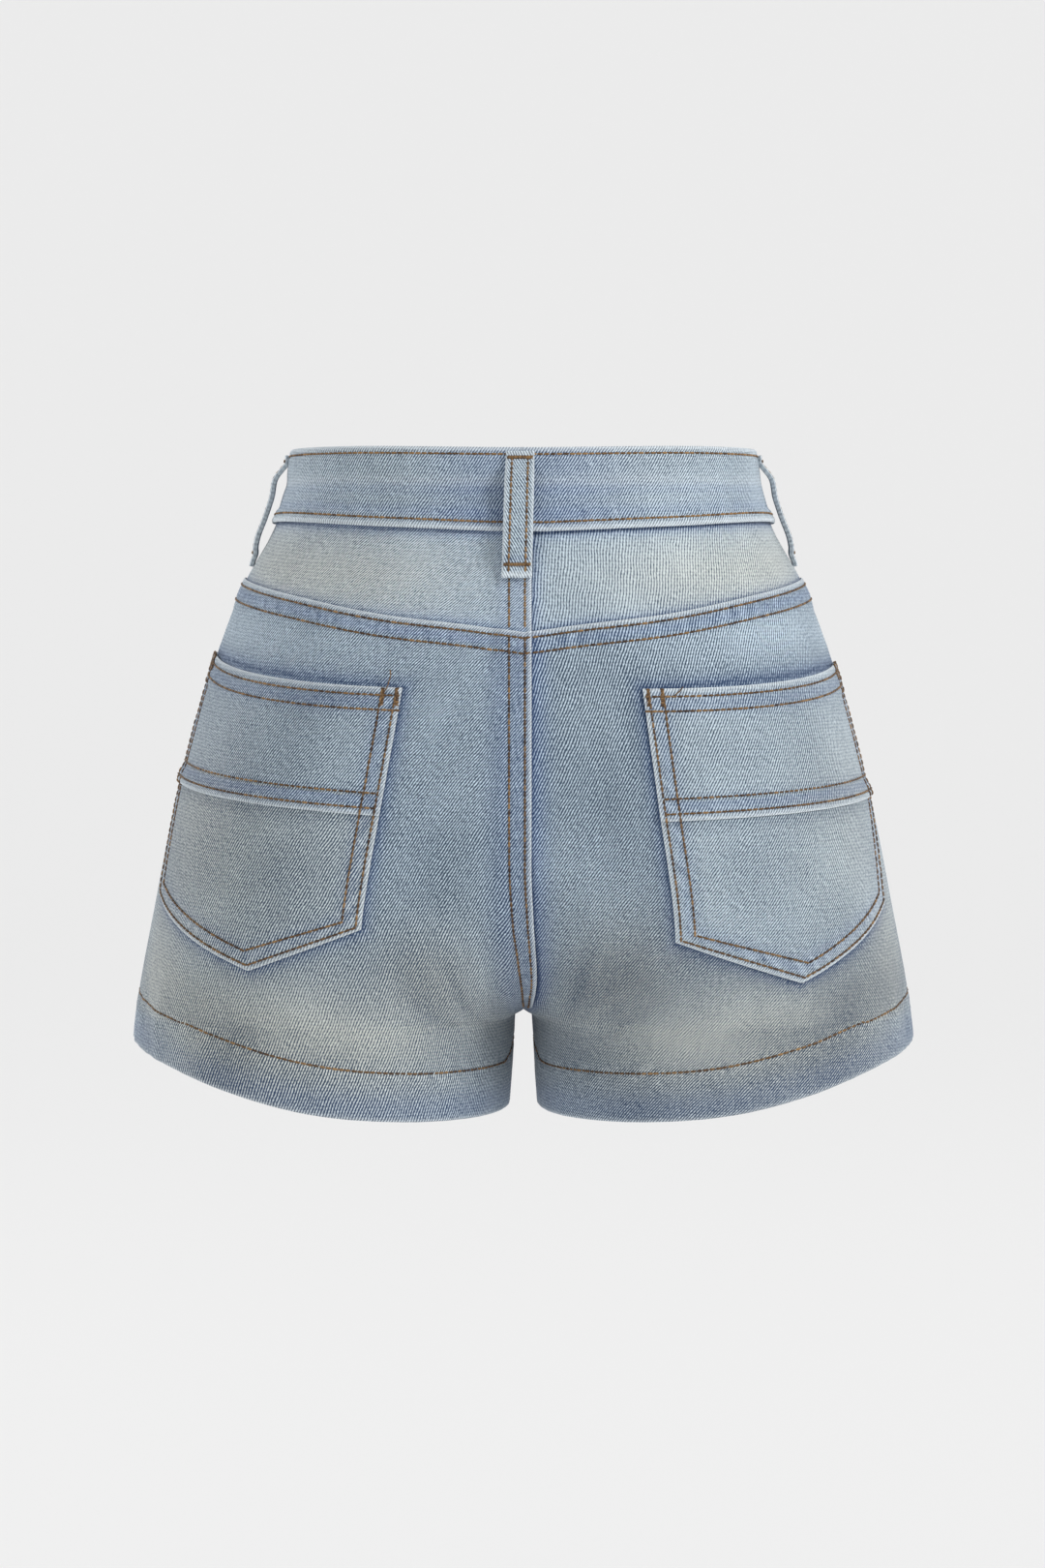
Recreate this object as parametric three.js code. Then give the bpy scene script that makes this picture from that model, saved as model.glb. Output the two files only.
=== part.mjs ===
import * as THREE from 'three';

// Denim shorts in their worn shape, hollow, in millimetres.
// The wearer faces -Y, the wearer's left is +X and +Z is up.
// The origin is the middle of the waist opening, level with the band's top edge at the back.

// Cloth
const WALL = 1.0;            // one layer of denim
const GAP = 0.3;             // air between two pieces at a seam
const LAP = WALL + GAP;      // rise of a piece that laps over another
const BAND_WALL = 2.0;       // waistband, folded double
const HEM_WALL = 2.3;        // hem, turned up inside
const POCKET_HEM_WALL = 1.8; // top edge of a pocket, turned in

// Overall form
const CROTCH_Z = -289.5;     // where the two legs part
const FULLNESS = 2.15;       // 2 gives an ellipse, more gives squarer sections
const RISE = {
  back: { sign: 1, height: 140, power: 2.5 },
  front: { sign: -1, height: 125, power: 2.4 },
};
const LEG_GAP = { start: 4.0, flare: 0.066 };
const WEB_POWER = 2.6;       // how close to the centre the cloth between the legs keeps

// Level sections of one half: side half width, back and front depth, and where the depth is greatest
const SECTIONS = [
  { z: 20, half: 116.0, back: 83, front: 83, axis: 0 },
  { z: 0, half: 118.6, back: 85, front: 84, axis: 1 },
  { z: -40, half: 127.3, back: 93, front: 88, axis: 8 },
  { z: -69, half: 143.0, back: 100, front: 92, axis: 22 },
  { z: -114, half: 160.4, back: 111, front: 96, axis: 44 },
  { z: -174, half: 177.6, back: 120, front: 97, axis: 68 },
  { z: -234, half: 190.0, back: 117, front: 94, axis: 88 },
  { z: -294, half: 200.6, back: 103, front: 89, axis: 102 },
  { z: -350, half: 203.2, back: 97, front: 87, axis: 104.5 },
];

// Edges round one half: turn 0 is the back centre, 1 the side seam, 2 the front centre
const BAND_TOP = [
  { turn: 0, z: 1 }, { turn: 0.6, z: 0.8 }, { turn: 0.9, z: -1.5 },
  { turn: 1.2, z: -5 }, { turn: 1.6, z: -11 }, { turn: 2, z: -14 },
];
const BAND_BOTTOM = [
  { turn: 0, z: -41 }, { turn: 0.4, z: -38.8 }, { turn: 0.8, z: -38 },
  { turn: 1.1, z: -41.5 }, { turn: 1.6, z: -50 }, { turn: 2, z: -54 },
];
const YOKE_SEAM = [
  { turn: 0, z: -90.6 }, { turn: 0.1, z: -87.4 }, { turn: 0.33, z: -82 }, { turn: 0.63, z: -73 },
  { turn: 0.88, z: -68.3 }, { turn: 1, z: -67.5 },
];
const HEM = [
  { turn: 0, z: -339.5 }, { turn: 0.23, z: -339.3 }, { turn: 0.35, z: -338 }, { turn: 0.51, z: -332.9 },
  { turn: 0.64, z: -323.4 }, { turn: 0.77, z: -312.6 }, { turn: 0.9, z: -306.4 }, { turn: 1, z: -304.6 },
  { turn: 1.15, z: -307 }, { turn: 1.4, z: -317 }, { turn: 1.7, z: -328 }, { turn: 2, z: -339.5 },
];
const HEM_HEIGHT = 25;

// Back pockets, as distance from the back centre along the cloth and height
const POCKETS = {
  left: {
    innerTop: { a: 60, z: -117.5 }, innerMid: { a: 71.6, z: -180.4 }, innerLow: { a: 82.5, z: -237.3 },
    outerTop: { a: 206, z: -105 }, outerMid: { a: 226, z: -170.6 }, outerLow: { a: 230, z: -227 },
    tip: { share: 0.375, z: -259.6 }, topSag: 2.5,
  },
  right: {
    innerTop: { a: 59, z: -118 }, innerMid: { a: 68.2, z: -183.3 }, innerLow: { a: 78.2, z: -244 },
    outerTop: { a: 208, z: -110 }, outerMid: { a: 226, z: -178 }, outerLow: { a: 218, z: -231.4 },
    tip: { share: 0.425, z: -265.9 }, topSag: 2.5,
  },
};

// Centre seams: how far the wearer's left piece laps over, and how far the right piece runs under
const CENTRE = {
  back: { over: 4, under: 8.5, fade: 17 },
  front: { over: 5, under: 4, fade: 17 },
};
const SEAM_UNDER = 9;        // yoke under the back panel
const FRONT_DIP = 3.7;       // wearer's right side sinks this far behind the fly

// Belt loops: place on the ring, width at the top and at the foot, ends, extra stand-off
const LOOPS = [
  {
    name: 'loop_back', side: 'left', branch: 'back', at: 2.5,
    wide: 15.5, foot: 17, top: -2, low: -64, puff: 1.3,
  },
  {
    name: 'loop_left', side: 'left', branch: 'side', at: 0,
    wide: 15, foot: 16.5, top: -5, low: -62, puff: 0,
  },
  {
    name: 'loop_right', side: 'right', branch: 'side', at: 0,
    wide: 15, foot: 16.5, top: -5, low: -62, puff: 0,
  },
  {
    name: 'loop_front_left', side: 'left', branch: 'front', at: 78,
    wide: 15, foot: 16.5, top: -12.5, low: -70, puff: 0,
  },
  {
    name: 'loop_front_right', side: 'right', branch: 'front', at: 78,
    wide: 15, foot: 16.5, top: -12.5, low: -70, puff: 0,
  },
];
const LOOP_WALL = 1.8;
// Share of the way down a loop, and how far its inner face stands off
const LOOP_PATH = [
  { down: 0, stand: 1.35 }, { down: 0.07, stand: 1.5 }, { down: 0.13, stand: 3.4 },
  { down: 0.2, stand: 5.5 }, { down: 0.4, stand: 6.0 }, { down: 0.62, stand: 6.1 },
  { down: 0.78, stand: 5.3 }, { down: 0.87, stand: 3.3 }, { down: 0.93, stand: 1.3 },
  { down: 1, stand: 0.4 },
];

// Front closing
const ZIP = {
  tape: { inner: -3, outer: 24, from: -58, to: -152, lift: -1.6, wall: 0.8 },
  chain: { inner: 8, outer: 12.6, from: -67, to: -148, lift: -2.7, wall: 1.6 },
  slider: { inner: 6.4, outer: 14.2, from: -58, to: -66.6, lift: -2.7, wall: 1.9 },
};
const SHIELD = { inner: -13, outer: 36, from: -48, to: -162, lift: -5.2, wall: 1.0 };
const BUTTON = { a: 13, z: -33, radius: 8.5, stand: 1.3, height: 3.2 };

// Large soft folds: from is the distance from the side seam, depth is minus for a trough
const FOLDS = [
  { side: 'left', branch: 'back', from: 214, z: -277, angle: 128, length: 44, width: 15, depth: -1.5 },
  { side: 'left', branch: 'back', from: 196, z: -300, angle: 150, length: 50, width: 20, depth: 1.4 },
  { side: 'left', branch: 'back', from: 112, z: -296, angle: 84, length: 40, width: 19, depth: -1.5 },
  { side: 'left', branch: 'back', from: 214, z: -205, angle: 104, length: 48, width: 18, depth: -1.2 },
  { side: 'right', branch: 'back', from: 218, z: -272, angle: 122, length: 48, width: 16, depth: -1.6 },
  { side: 'right', branch: 'back', from: 182, z: -302, angle: 160, length: 46, width: 20, depth: 1.2 },
  { side: 'right', branch: 'back', from: 98, z: -290, angle: 96, length: 44, width: 20, depth: -1.6 },
  { side: 'right', branch: 'back', from: 212, z: -190, angle: 98, length: 54, width: 18, depth: -1.1 },
  { side: 'left', branch: 'front', from: 186, z: -262, angle: 132, length: 58, width: 16, depth: -2.0 },
  { side: 'left', branch: 'front', from: 150, z: -224, angle: 142, length: 64, width: 18, depth: 1.6 },
  { side: 'left', branch: 'front', from: 96, z: -284, angle: 96, length: 48, width: 19, depth: -1.6 },
  { side: 'right', branch: 'front', from: 182, z: -256, angle: 128, length: 54, width: 17, depth: -1.8 },
  { side: 'right', branch: 'front', from: 142, z: -214, angle: 146, length: 68, width: 19, depth: 1.7 },
  { side: 'right', branch: 'front', from: 104, z: -276, angle: 92, length: 44, width: 18, depth: -1.4 },
];

const COLOURS = {
  denim: 0x8d9eac, band: 0xa5b2bd, pocket: 0x9badb9, yoke: 0xa8b2b9, tape: 0x3b4350, metal: 0x8a7350,
  brass: 0xa98b55,
};

const clamp = (v, low, high) => Math.min(high, Math.max(low, v));
const mix = (p, q, s) => p + (q - p) * s;
const ease = (v) => {
  const s = clamp(v, 0, 1);
  return s * s * (3 - 2 * s);
};

// A smooth value between the rows of a table
function along(table, key, column, value) {
  const rows = table[0][key] < table[table.length - 1][key] ? table : [...table].reverse();
  const v = clamp(value, rows[0][key], rows[rows.length - 1][key]);
  let i = 0;
  while (i < rows.length - 2 && rows[i + 1][key] <= v) {
    i += 1;
  }
  const slope = (j) => (rows[j + 1][column] - rows[j][column]) / (rows[j + 1][key] - rows[j][key]);
  const step = (j) => rows[j + 1][key] - rows[j][key];
  const tangent = (j) => {
    if (j === 0) {
      return slope(0);
    }
    if (j === rows.length - 1) {
      return slope(j - 1);
    }
    return (slope(j - 1) * step(j) + slope(j) * step(j - 1)) / (step(j) + step(j - 1));
  };
  const h = step(i);
  const s = (v - rows[i][key]) / h;
  const start = (1 + 2 * s) * (1 - s) * (1 - s) * rows[i][column] + s * (1 - s) * (1 - s) * h * tangent(i);
  return start + s * s * (3 - 2 * s) * rows[i + 1][column] + s * s * (s - 1) * h * tangent(i + 1);
}

// Half the gap between the legs
function legGap(z) {
  const depth = Math.max(CROTCH_Z - z, 0);
  const r = clamp(depth / LEG_GAP.start, 0, 1);
  return LEG_GAP.start * Math.sqrt(1 - (1 - r) * (1 - r)) + LEG_GAP.flare * depth;
}

// How far out the centre seam stands, as a share of the depth
function riseShare(z, branch) {
  const { height, power } = RISE[branch];
  const s = clamp((z - CROTCH_Z) / height, 0, 1);
  return clamp(Math.pow(1 - Math.pow(1 - s, power), 1 / power), 0, 0.9995);
}

// One level line from the centre or inner leg to the side, with its running length
const sectionCache = new Map();
function section(z, branch) {
  const key = branch + z.toFixed(4);
  if (sectionCache.has(key)) {
    return sectionCache.get(key);
  }
  const innerSteps = 24;
  const outerSteps = 40;
  const half = along(SECTIONS, 'z', 'half', z);
  const axis = along(SECTIONS, 'z', 'axis', z);
  const depth = along(SECTIONS, 'z', branch, z);
  const gap = legGap(z);
  const start = Math.asin(Math.pow(riseShare(z, branch), FULLNESS / 2));
  const startWidth = Math.pow(Math.cos(start), 2 / FULLNESS);
  const points = [];
  for (let i = 0; i <= innerSteps; i += 1) {
    const angle = mix(start, Math.PI / 2, i / innerSteps);
    const share = Math.pow(Math.max(Math.cos(angle), 0), 2 / FULLNESS) / startWidth;
    const leg = (axis - gap) * share * startWidth;
    const web = (axis - gap) * (1 - startWidth) * Math.pow(share, WEB_POWER);
    points.push([axis - leg - web, depth * Math.pow(Math.sin(angle), 2 / FULLNESS)]);
  }
  for (let i = 1; i <= outerSteps; i += 1) {
    const angle = (Math.PI / 2) * i / outerSteps;
    const across = axis + (half - axis) * Math.pow(Math.sin(angle), 2 / FULLNESS);
    points.push([across, depth * Math.pow(Math.max(Math.cos(angle), 0), 2 / FULLNESS)]);
  }
  const run = [0];
  for (let i = 1; i < points.length; i += 1) {
    const dx = points[i][0] - points[i - 1][0];
    const dy = points[i][1] - points[i - 1][1];
    run.push(run[i - 1] + Math.hypot(dx, dy));
  }
  const line = { points, run, length: run[run.length - 1] };
  sectionCache.set(key, line);
  return line;
}

const lengthAt = (z, branch) => section(z, branch).length;

// A point of the skin: side is +1 for the wearer's left, a is the distance from the centre or inner leg
function skin(side, branch, a, z) {
  const { points, run, length } = section(z, branch);
  const run0 = Math.min(Math.abs(a), length);
  let i = 0;
  while (i < run.length - 2 && run[i + 1] <= run0) {
    i += 1;
  }
  const s = (run0 - run[i]) / Math.max(run[i + 1] - run[i], 1e-9);
  const x = mix(points[i][0], points[i + 1][0], s);
  const y = RISE[branch].sign * mix(points[i][1], points[i + 1][1], s);
  if (a >= 0) {
    return new THREE.Vector3(side * x, y, z);
  }
  return z < CROTCH_Z ? new THREE.Vector3(side * x, -y, z) : new THREE.Vector3(-side * x, y, z);
}

// The outward direction of the skin
function outward(side, branch, a, z) {
  const at = Math.abs(a) <= 0.2 ? 0 : a;
  const foot = new THREE.Vector3(-side, 0, -1).normalize();
  if (at === 0 && Math.abs(z - CROTCH_Z) < 0.05) {
    return foot;
  }
  const step = 0.5;
  const length = lengthAt(z, branch);
  const ahead = skin(side, branch, Math.min(at + step, length), z);
  const across = ahead.sub(skin(side, branch, Math.min(at, length) - step, z));
  const up = z >= CROTCH_Z ? z + 0.2 : Math.min(z + 0.2, CROTCH_Z);
  const down = z >= CROTCH_Z ? Math.max(z - 0.2, CROTCH_Z) : z - 0.2;
  const rise = skin(side, branch, at, up).sub(skin(side, branch, at, down));
  const n = across.cross(rise).normalize();
  const turn = side * RISE[branch].sign;
  return n.multiplyScalar(-turn);
}

// Height of the soft folds over the skin
function foldAt(side, branch, a, z) {
  const length = lengthAt(z, branch);
  let sum = 0;
  for (const f of FOLDS) {
    if (f.branch !== branch || f.side !== (side > 0 ? 'left' : 'right')) {
      continue;
    }
    const angle = f.angle * Math.PI / 180;
    const da = length - a - f.from;
    const dz = z - f.z;
    const alongIt = (da * Math.cos(angle) + dz * Math.sin(angle)) / f.length;
    const acrossIt = (-da * Math.sin(angle) + dz * Math.cos(angle)) / f.width;
    sum += f.depth * Math.exp(-alongIt * alongIt * 2 - acrossIt * acrossIt * 2);
  }
  const quiet = a < 0 ? 0 : ease(a / 22);
  const edge = ease((length - a) / 25);
  return sum * quiet * edge;
}

function point(spot, lift) {
  const { side, branch, a, z } = spot;
  const p = skin(side, branch, a, z);
  return p.addScaledVector(outward(side, branch, a, z), lift + foldAt(side, branch, a, z));
}

// A closed sheet of cloth from a grid of spots, each with its lift and wall
function sheet(name, columns, rows, spotAt, options = {}) {
  const positions = [];
  const index = [];
  const perSide = (columns + 1) * (rows + 1);
  for (let layer = 0; layer < 2; layer += 1) {
    for (let r = 0; r <= rows; r += 1) {
      for (let c = 0; c <= columns; c += 1) {
        const spot = spotAt(c, r);
        const p = point(spot, spot.lift - (layer === 0 ? 0 : spot.wall));
        if (spot.shift) {
          p.add(spot.shift);
        }
        positions.push(p.x, p.y, p.z);
      }
    }
  }
  const v = (layer, c, r) => layer * perSide + r * (columns + 1) + c;
  const quad = (p, q, s, t, cross) => {
    if (cross) {
      index.push(p, q, t, q, s, t);
    } else {
      index.push(p, q, s, p, s, t);
    }
  };
  for (let r = 0; r < rows; r += 1) {
    for (let c = 0; c < columns; c += 1) {
      quad(v(0, c, r), v(0, c + 1, r), v(0, c + 1, r + 1), v(0, c, r + 1), false);
      quad(v(1, c, r + 1), v(1, c + 1, r + 1), v(1, c + 1, r), v(1, c, r), true);
    }
  }
  for (let c = 0; c < columns; c += 1) {
    quad(v(1, c, 0), v(1, c + 1, 0), v(0, c + 1, 0), v(0, c, 0), false);
    quad(v(0, c, rows), v(0, c + 1, rows), v(1, c + 1, rows), v(1, c, rows), false);
  }
  for (let r = 0; r < rows; r += 1) {
    quad(v(0, 0, r + 1), v(1, 0, r + 1), v(1, 0, r), v(0, 0, r), false);
    quad(v(0, columns, r), v(1, columns, r), v(1, columns, r + 1), v(0, columns, r + 1), false);
  }
  return solid(name, positions, index, options.colour ?? COLOURS.denim, options);
}

// A named mesh whose faces point out
function solid(name, positions, index, colour, options = {}) {
  let volume = 0;
  for (let i = 0; i < index.length; i += 3) {
    const [p, q, s] = [index[i] * 3, index[i + 1] * 3, index[i + 2] * 3];
    const a = new THREE.Vector3(positions[p], positions[p + 1], positions[p + 2]);
    const b = new THREE.Vector3(positions[q], positions[q + 1], positions[q + 2]);
    const c = new THREE.Vector3(positions[s], positions[s + 1], positions[s + 2]);
    volume += a.dot(b.cross(c)) / 6;
  }
  if (volume < 0) {
    for (let i = 0; i < index.length; i += 3) {
      [index[i + 1], index[i + 2]] = [index[i + 2], index[i + 1]];
    }
  }
  const geometry = new THREE.BufferGeometry();
  geometry.setAttribute('position', new THREE.Float32BufferAttribute(positions, 3));
  geometry.setIndex(index);
  geometry.computeVertexNormals();
  const material = new THREE.MeshStandardMaterial({
    color: colour,
    metalness: options.metal ? 0.9 : 0,
    roughness: options.metal ? 0.4 : 0.9,
  });
  const mesh = new THREE.Mesh(geometry, material);
  mesh.name = name;
  return mesh;
}

// Columns of the back, shared by band, yoke and panel so that their facets agree
const BACK = { near: 4, inner: 5, pocket: 8, outer: 2 };
const BACK_COLUMNS = BACK.near + BACK.inner + BACK.pocket + BACK.outer;
const FRONT_NEAR = 5;
const FRONT_COLUMNS = 13;

// Near the crotch the lap narrows to nothing first, and its rise goes after that
const lapWidth = (z) => ease((z - CROTCH_Z - 52) / 24);
const lapRise = (z) => ease((z - CROTCH_Z - 22) / 26);

// The pocket's side edges carried up to the band and down to the hem
function pocketEdge(sideName, which, z) {
  const pocket = POCKETS[sideName];
  const top = pocket[which + 'Top'];
  const mid = pocket[which + 'Mid'];
  const low = pocket[which + 'Low'];
  if (z >= top.z) {
    return top.a / lengthAt(top.z, 'back') * lengthAt(z, 'back');
  }
  if (z >= mid.z) {
    return mix(mid.a, top.a, (z - mid.z) / (top.z - mid.z));
  }
  if (z >= low.z) {
    return mix(low.a, mid.a, (z - low.z) / (mid.z - low.z));
  }
  const fromSide = lengthAt(low.z, 'back') - low.a;
  const keep = which === 'inner' ? fromSide : mix(fromSide, 26, ease((low.z - z) / 70));
  return lengthAt(z, 'back') - keep;
}

// How far across the pocket its columns lie, so that one of them runs through its point
function pocketShare(sideName, k) {
  const point = POCKETS[sideName].tip.share;
  const share = k / BACK.pocket;
  return share <= 0.5 ? share * 2 * point : mix(point, 1, share * 2 - 1);
}

// Distance from the centre of a back column at a height
function backColumn(sideName, c, z) {
  const left = sideName === 'left';
  const w = lapWidth(z);
  const { over, under } = CENTRE.back;
  const wide = left ? [-over, 0, over, under, 17] : [-under, -over, 0, over, 12];
  const butt = left ? [0.15, 2.2, 5, 9.5, 17] : [0.15, 1.4, 3, 6, 12];
  if (c <= BACK.near) {
    return mix(butt[c], wide[c], w);
  }
  const near = mix(butt[BACK.near], wide[BACK.near], w);
  const inner = pocketEdge(sideName, 'inner', z);
  const outer = pocketEdge(sideName, 'outer', z);
  const last = lengthAt(z, 'back') - 0.15;
  const k = c - BACK.near;
  if (k <= BACK.inner) {
    return mix(near, inner, k / BACK.inner);
  }
  if (k <= BACK.inner + BACK.pocket) {
    return mix(inner, outer, pocketShare(sideName, k - BACK.inner));
  }
  return mix(outer, last, (k - BACK.inner - BACK.pocket) / BACK.outer);
}

// Distance from the front centre of a front column
function frontColumn(sideName, c, z) {
  const left = sideName === 'left';
  const w = lapWidth(z);
  const wide = left ? [-5, 0, 4, 12, 22, 34] : [-4, 0, 5, 12, 22, 34];
  const butt = [0.15, 4, 8, 14, 23, 34];
  if (c <= FRONT_NEAR) {
    return mix(butt[c], wide[c], w);
  }
  const last = lengthAt(z, 'front') - 0.15;
  return mix(34, last, (c - FRONT_NEAR) / (FRONT_COLUMNS - FRONT_NEAR));
}

// The wearer's right side sinks behind the fly, and comes back level beside it
function frontDip(sideName, a, z) {
  if (sideName === 'left') {
    return 0;
  }
  return -FRONT_DIP * (1 - ease((a - 9) / 22)) * lapRise(z);
}

// The wearer's left back piece rises over the right one
function centreCap(sideName, a, z) {
  if (sideName === 'right') {
    return 0;
  }
  const ending = ease((-196 - z) / 16);
  return (1 - ease((a - CENTRE.back.under) / 9)) * lapRise(z) * (1 + 0.65 * ending);
}

// The band rises where it crosses that lap, on both sides of the centre
function bandCap(sideName, a) {
  return sideName === 'left' ? centreCap('left', a, 0) : 1 - ease((a - CENTRE.back.over) / 8);
}

const zOfRing = (table, turn) => along(table, 'turn', 'z', clamp(turn, 0, 2));

// Where a spot of the half ring stands: 0 back centre, 1 side, 2 front centre
function turnOf(branch, a, z) {
  const share = clamp(Math.abs(a) / lengthAt(z, branch), 0, 1);
  return branch === 'back' ? share : 2 - share;
}

// A height that hangs on the ring position, settled in a few rounds
function heightOn(branch, columnAt, table, offset) {
  let z = along(table, 'turn', 'z', branch === 'back' ? 0.5 : 1.5) + offset;
  for (let round = 0; round < 6; round += 1) {
    z = zOfRing(table, turnOf(branch, columnAt(z), z)) + offset;
  }
  return z;
}

// Waistband: from its end under the fly on the right, round the back, to the end over the fly on the left
function waistband() {
  const spots = [];
  for (let c = 0; c <= FRONT_COLUMNS; c += 1) {
    spots.push({ side: -1, sideName: 'right', branch: 'front', c });
  }
  for (let c = BACK_COLUMNS - 1; c >= 3; c -= 1) {
    spots.push({ side: -1, sideName: 'right', branch: 'back', c });
  }
  for (let c = 1; c < BACK_COLUMNS; c += 1) {
    spots.push({ side: 1, sideName: 'left', branch: 'back', c });
  }
  for (let c = FRONT_COLUMNS; c >= 0; c -= 1) {
    spots.push({ side: 1, sideName: 'left', branch: 'front', c });
  }
  const rows = [
    { top: 0.9, low: 0, lift: 0.4, wall: 1.0 }, { top: 0, low: 0, lift: 1.0, wall: BAND_WALL },
    { top: -15, low: 0, lift: 1.0, wall: BAND_WALL }, { top: 0, low: 9, lift: 1.0, wall: BAND_WALL },
    { top: 0, low: 5, lift: LAP + 1.0, wall: BAND_WALL },
    { top: 0, low: 0, lift: LAP + 1.0, wall: BAND_WALL },
  ];
  const underEnd = 34;
  return sheet('waistband', spots.length - 1, rows.length - 1, (i, r) => {
    const { side, sideName, branch, c } = spots[i];
    const row = rows[r];
    const column = (z) => {
      if (branch === 'back') {
        return backColumn(sideName, c, z);
      }
      if (sideName === 'right' && c === 0) {
        return -underEnd;
      }
      return c === FRONT_COLUMNS ? lengthAt(z, 'front') : frontColumn(sideName, c, z);
    };
    const fromTop = row.low === 0 && r < 3;
    const z = heightOn(branch, column, fromTop ? BAND_TOP : BAND_BOTTOM, fromTop ? row.top : row.low);
    const a = column(z);
    const dip = branch === 'front' ? frontDip(sideName, a, z) : 0;
    const cap = branch === 'back' && r > 3 ? LAP * bandCap(sideName, a) : 0;
    return { side, branch, a, z, lift: row.lift + dip + cap, wall: row.wall };
  }, { colour: COLOURS.band });
}

// Heights of the back panel's rows at the centre, the pocket's corners and the side
function backRows(sideName) {
  const { innerTop, innerMid, innerLow, outerTop, outerMid, outerLow, tip } = POCKETS[sideName];
  const keys = [
    { name: 'fade', centre: -106.5, inner: -99.5, tip: -89.5, outer: -84.5, side: -84 },
    { name: 'pocketTop', centre: -119, inner: innerTop.z, tip: null, outer: outerTop.z, side: -103 },
    { name: 'pocketMid', centre: -177, inner: innerMid.z, tip: null, outer: outerMid.z, side: -168 },
    { name: 'pocketLow', centre: -232, inner: innerLow.z, tip: tip.z, outer: outerLow.z, side: -222 },
    { name: 'crotch', centre: CROTCH_Z, inner: -289, tip: -288, outer: -266, side: -262 },
  ];
  return keys;
}

function rowHeight(key, sideName, c, a, z) {
  const pocket = POCKETS[sideName];
  const innerAt = BACK.near + BACK.inner;
  const outerAt = innerAt + BACK.pocket;
  if (c <= innerAt) {
    return mix(key.centre, key.inner, clamp(Math.abs(a) / pocketEdge(sideName, 'inner', z), 0, 1));
  }
  if (c <= outerAt) {
    const share = pocketShare(sideName, c - innerAt);
    if (key.tip === null) {
      const sag = key.name === 'pocketTop' ? pocket.topSag * 4 * share * (1 - share) : 0;
      return mix(key.inner, key.outer, share) - sag;
    }
    const tipAt = pocket.tip.share;
    if (share <= tipAt) {
      return mix(key.inner, key.tip, share / tipAt);
    }
    return mix(key.tip, key.outer, (share - tipAt) / (1 - tipAt));
  }
  return mix(key.outer, key.side, (c - outerAt) / BACK.outer);
}

// Share of the way between two key rows, crowded towards the crotch at the centre
const CROTCH_CROWD = [0, 0.3, 0.55, 0.74, 0.87, 0.95, 0.985, 1];

function backHeight(sideName, row, c) {
  const keys = backRows(sideName);
  const column = (z) => backColumn(sideName, c, z);
  const seam = heightOn('back', column, YOKE_SEAM, 0);
  const settle = (fn) => {
    let z = fn(-200);
    for (let round = 0; round < 8; round += 1) {
      z = fn(z);
    }
    return z;
  };
  const keyZ = (k) => settle((z) => rowHeight(keys[k], sideName, c, column(z), z));
  if (row === 0) {
    return seam;
  }
  if (row === 1) {
    return seam - SEAM_UNDER;
  }
  if (row <= 2) {
    return keyZ(0);
  }
  if (row <= 3) {
    return keyZ(1);
  }
  if (row <= 6) {
    return mix(keyZ(1), keyZ(2), (row - 3) / 3);
  }
  if (row <= 10) {
    return mix(keyZ(2), keyZ(3), (row - 6) / 4);
  }
  if (row <= 17) {
    const crowd = CROTCH_CROWD[row - 10];
    const even = (row - 10) / 7;
    const reach = pocketEdge(sideName, 'inner', -289);
    const blend = ease(Math.abs(column(keyZ(4))) / reach);
    return mix(keyZ(3), keyZ(4), mix(crowd, even, blend));
  }
  const hem = heightOn('back', column, HEM, 0);
  const hemTop = hem + hemRise('back', column, hem);
  const below = row - 17;
  const shares = [0, 0.12, 0.42, 1];
  if (below <= 3) {
    return mix(keyZ(4), hemTop, shares[below]);
  }
  return mix(hemTop - 1.2, hem, [0, 0.5, 0.97, 1][below - 4]);
}

// The hem is as high as HEM_HEIGHT measured square to its slope
function hemRise(branch, column, hem) {
  const a = column(hem);
  const h = 4;
  const one = zOfRing(HEM, turnOf(branch, a + h, hem));
  const two = zOfRing(HEM, turnOf(branch, Math.max(a - h, 0), hem));
  const slope = (one - two) / (2 * h);
  return HEM_HEIGHT * Math.sqrt(1 + slope * slope);
}

function backPanel(sideName) {
  const side = sideName === 'left' ? 1 : -1;
  const rows = 24;
  return sheet('back_' + sideName, BACK_COLUMNS, rows, (c, r) => {
    const z = backHeight(sideName, r, c);
    const a = backColumn(sideName, c, z);
    const cap = centreCap(sideName, a, z);
    const underCap = sideName === 'right' ? 1 - ease((a - 6) / 8) : 0;
    const overYoke = r <= 1 ? 1 : 0;
    const lift = LAP * cap + LAP * overYoke * (1 + Math.max(cap, underCap));
    return edgeSpot({ side, branch: 'back', a, z, lift, wall: r >= 21 ? HEM_WALL : WALL }, r, rows, c);
  });
}

// Rounds the hem's fold, and keeps the edges at the crotch and inner leg apart
function edgeSpot(spot, r, rows, c) {
  if (r === rows) {
    spot.lift -= 0.6;
    spot.wall -= 1.2;
  }
  if (c === 0 && spot.z < CROTCH_Z + 0.05) {
    spot.shift = new THREE.Vector3(spot.side * 0.15, 0, 0);
  }
  return spot;
}

function yoke(sideName) {
  const side = sideName === 'left' ? 1 : -1;
  return sheet('yoke_' + sideName, BACK_COLUMNS, 5, (c, r) => {
    const column = (z) => backColumn(sideName, c, z);
    const top = heightOn('back', column, BAND_BOTTOM, 4.2);
    const low = heightOn('back', column, YOKE_SEAM, 0);
    const body = top - 5;
    const z = [top, body, mix(body, low, 0.35), mix(body, low, 0.7), low, low - SEAM_UNDER + 0.8][r];
    const a = column(z);
    return { side, branch: 'back', a, z, lift: LAP * centreCap(sideName, a, z), wall: WALL };
  }, { colour: COLOURS.yoke });
}

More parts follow.
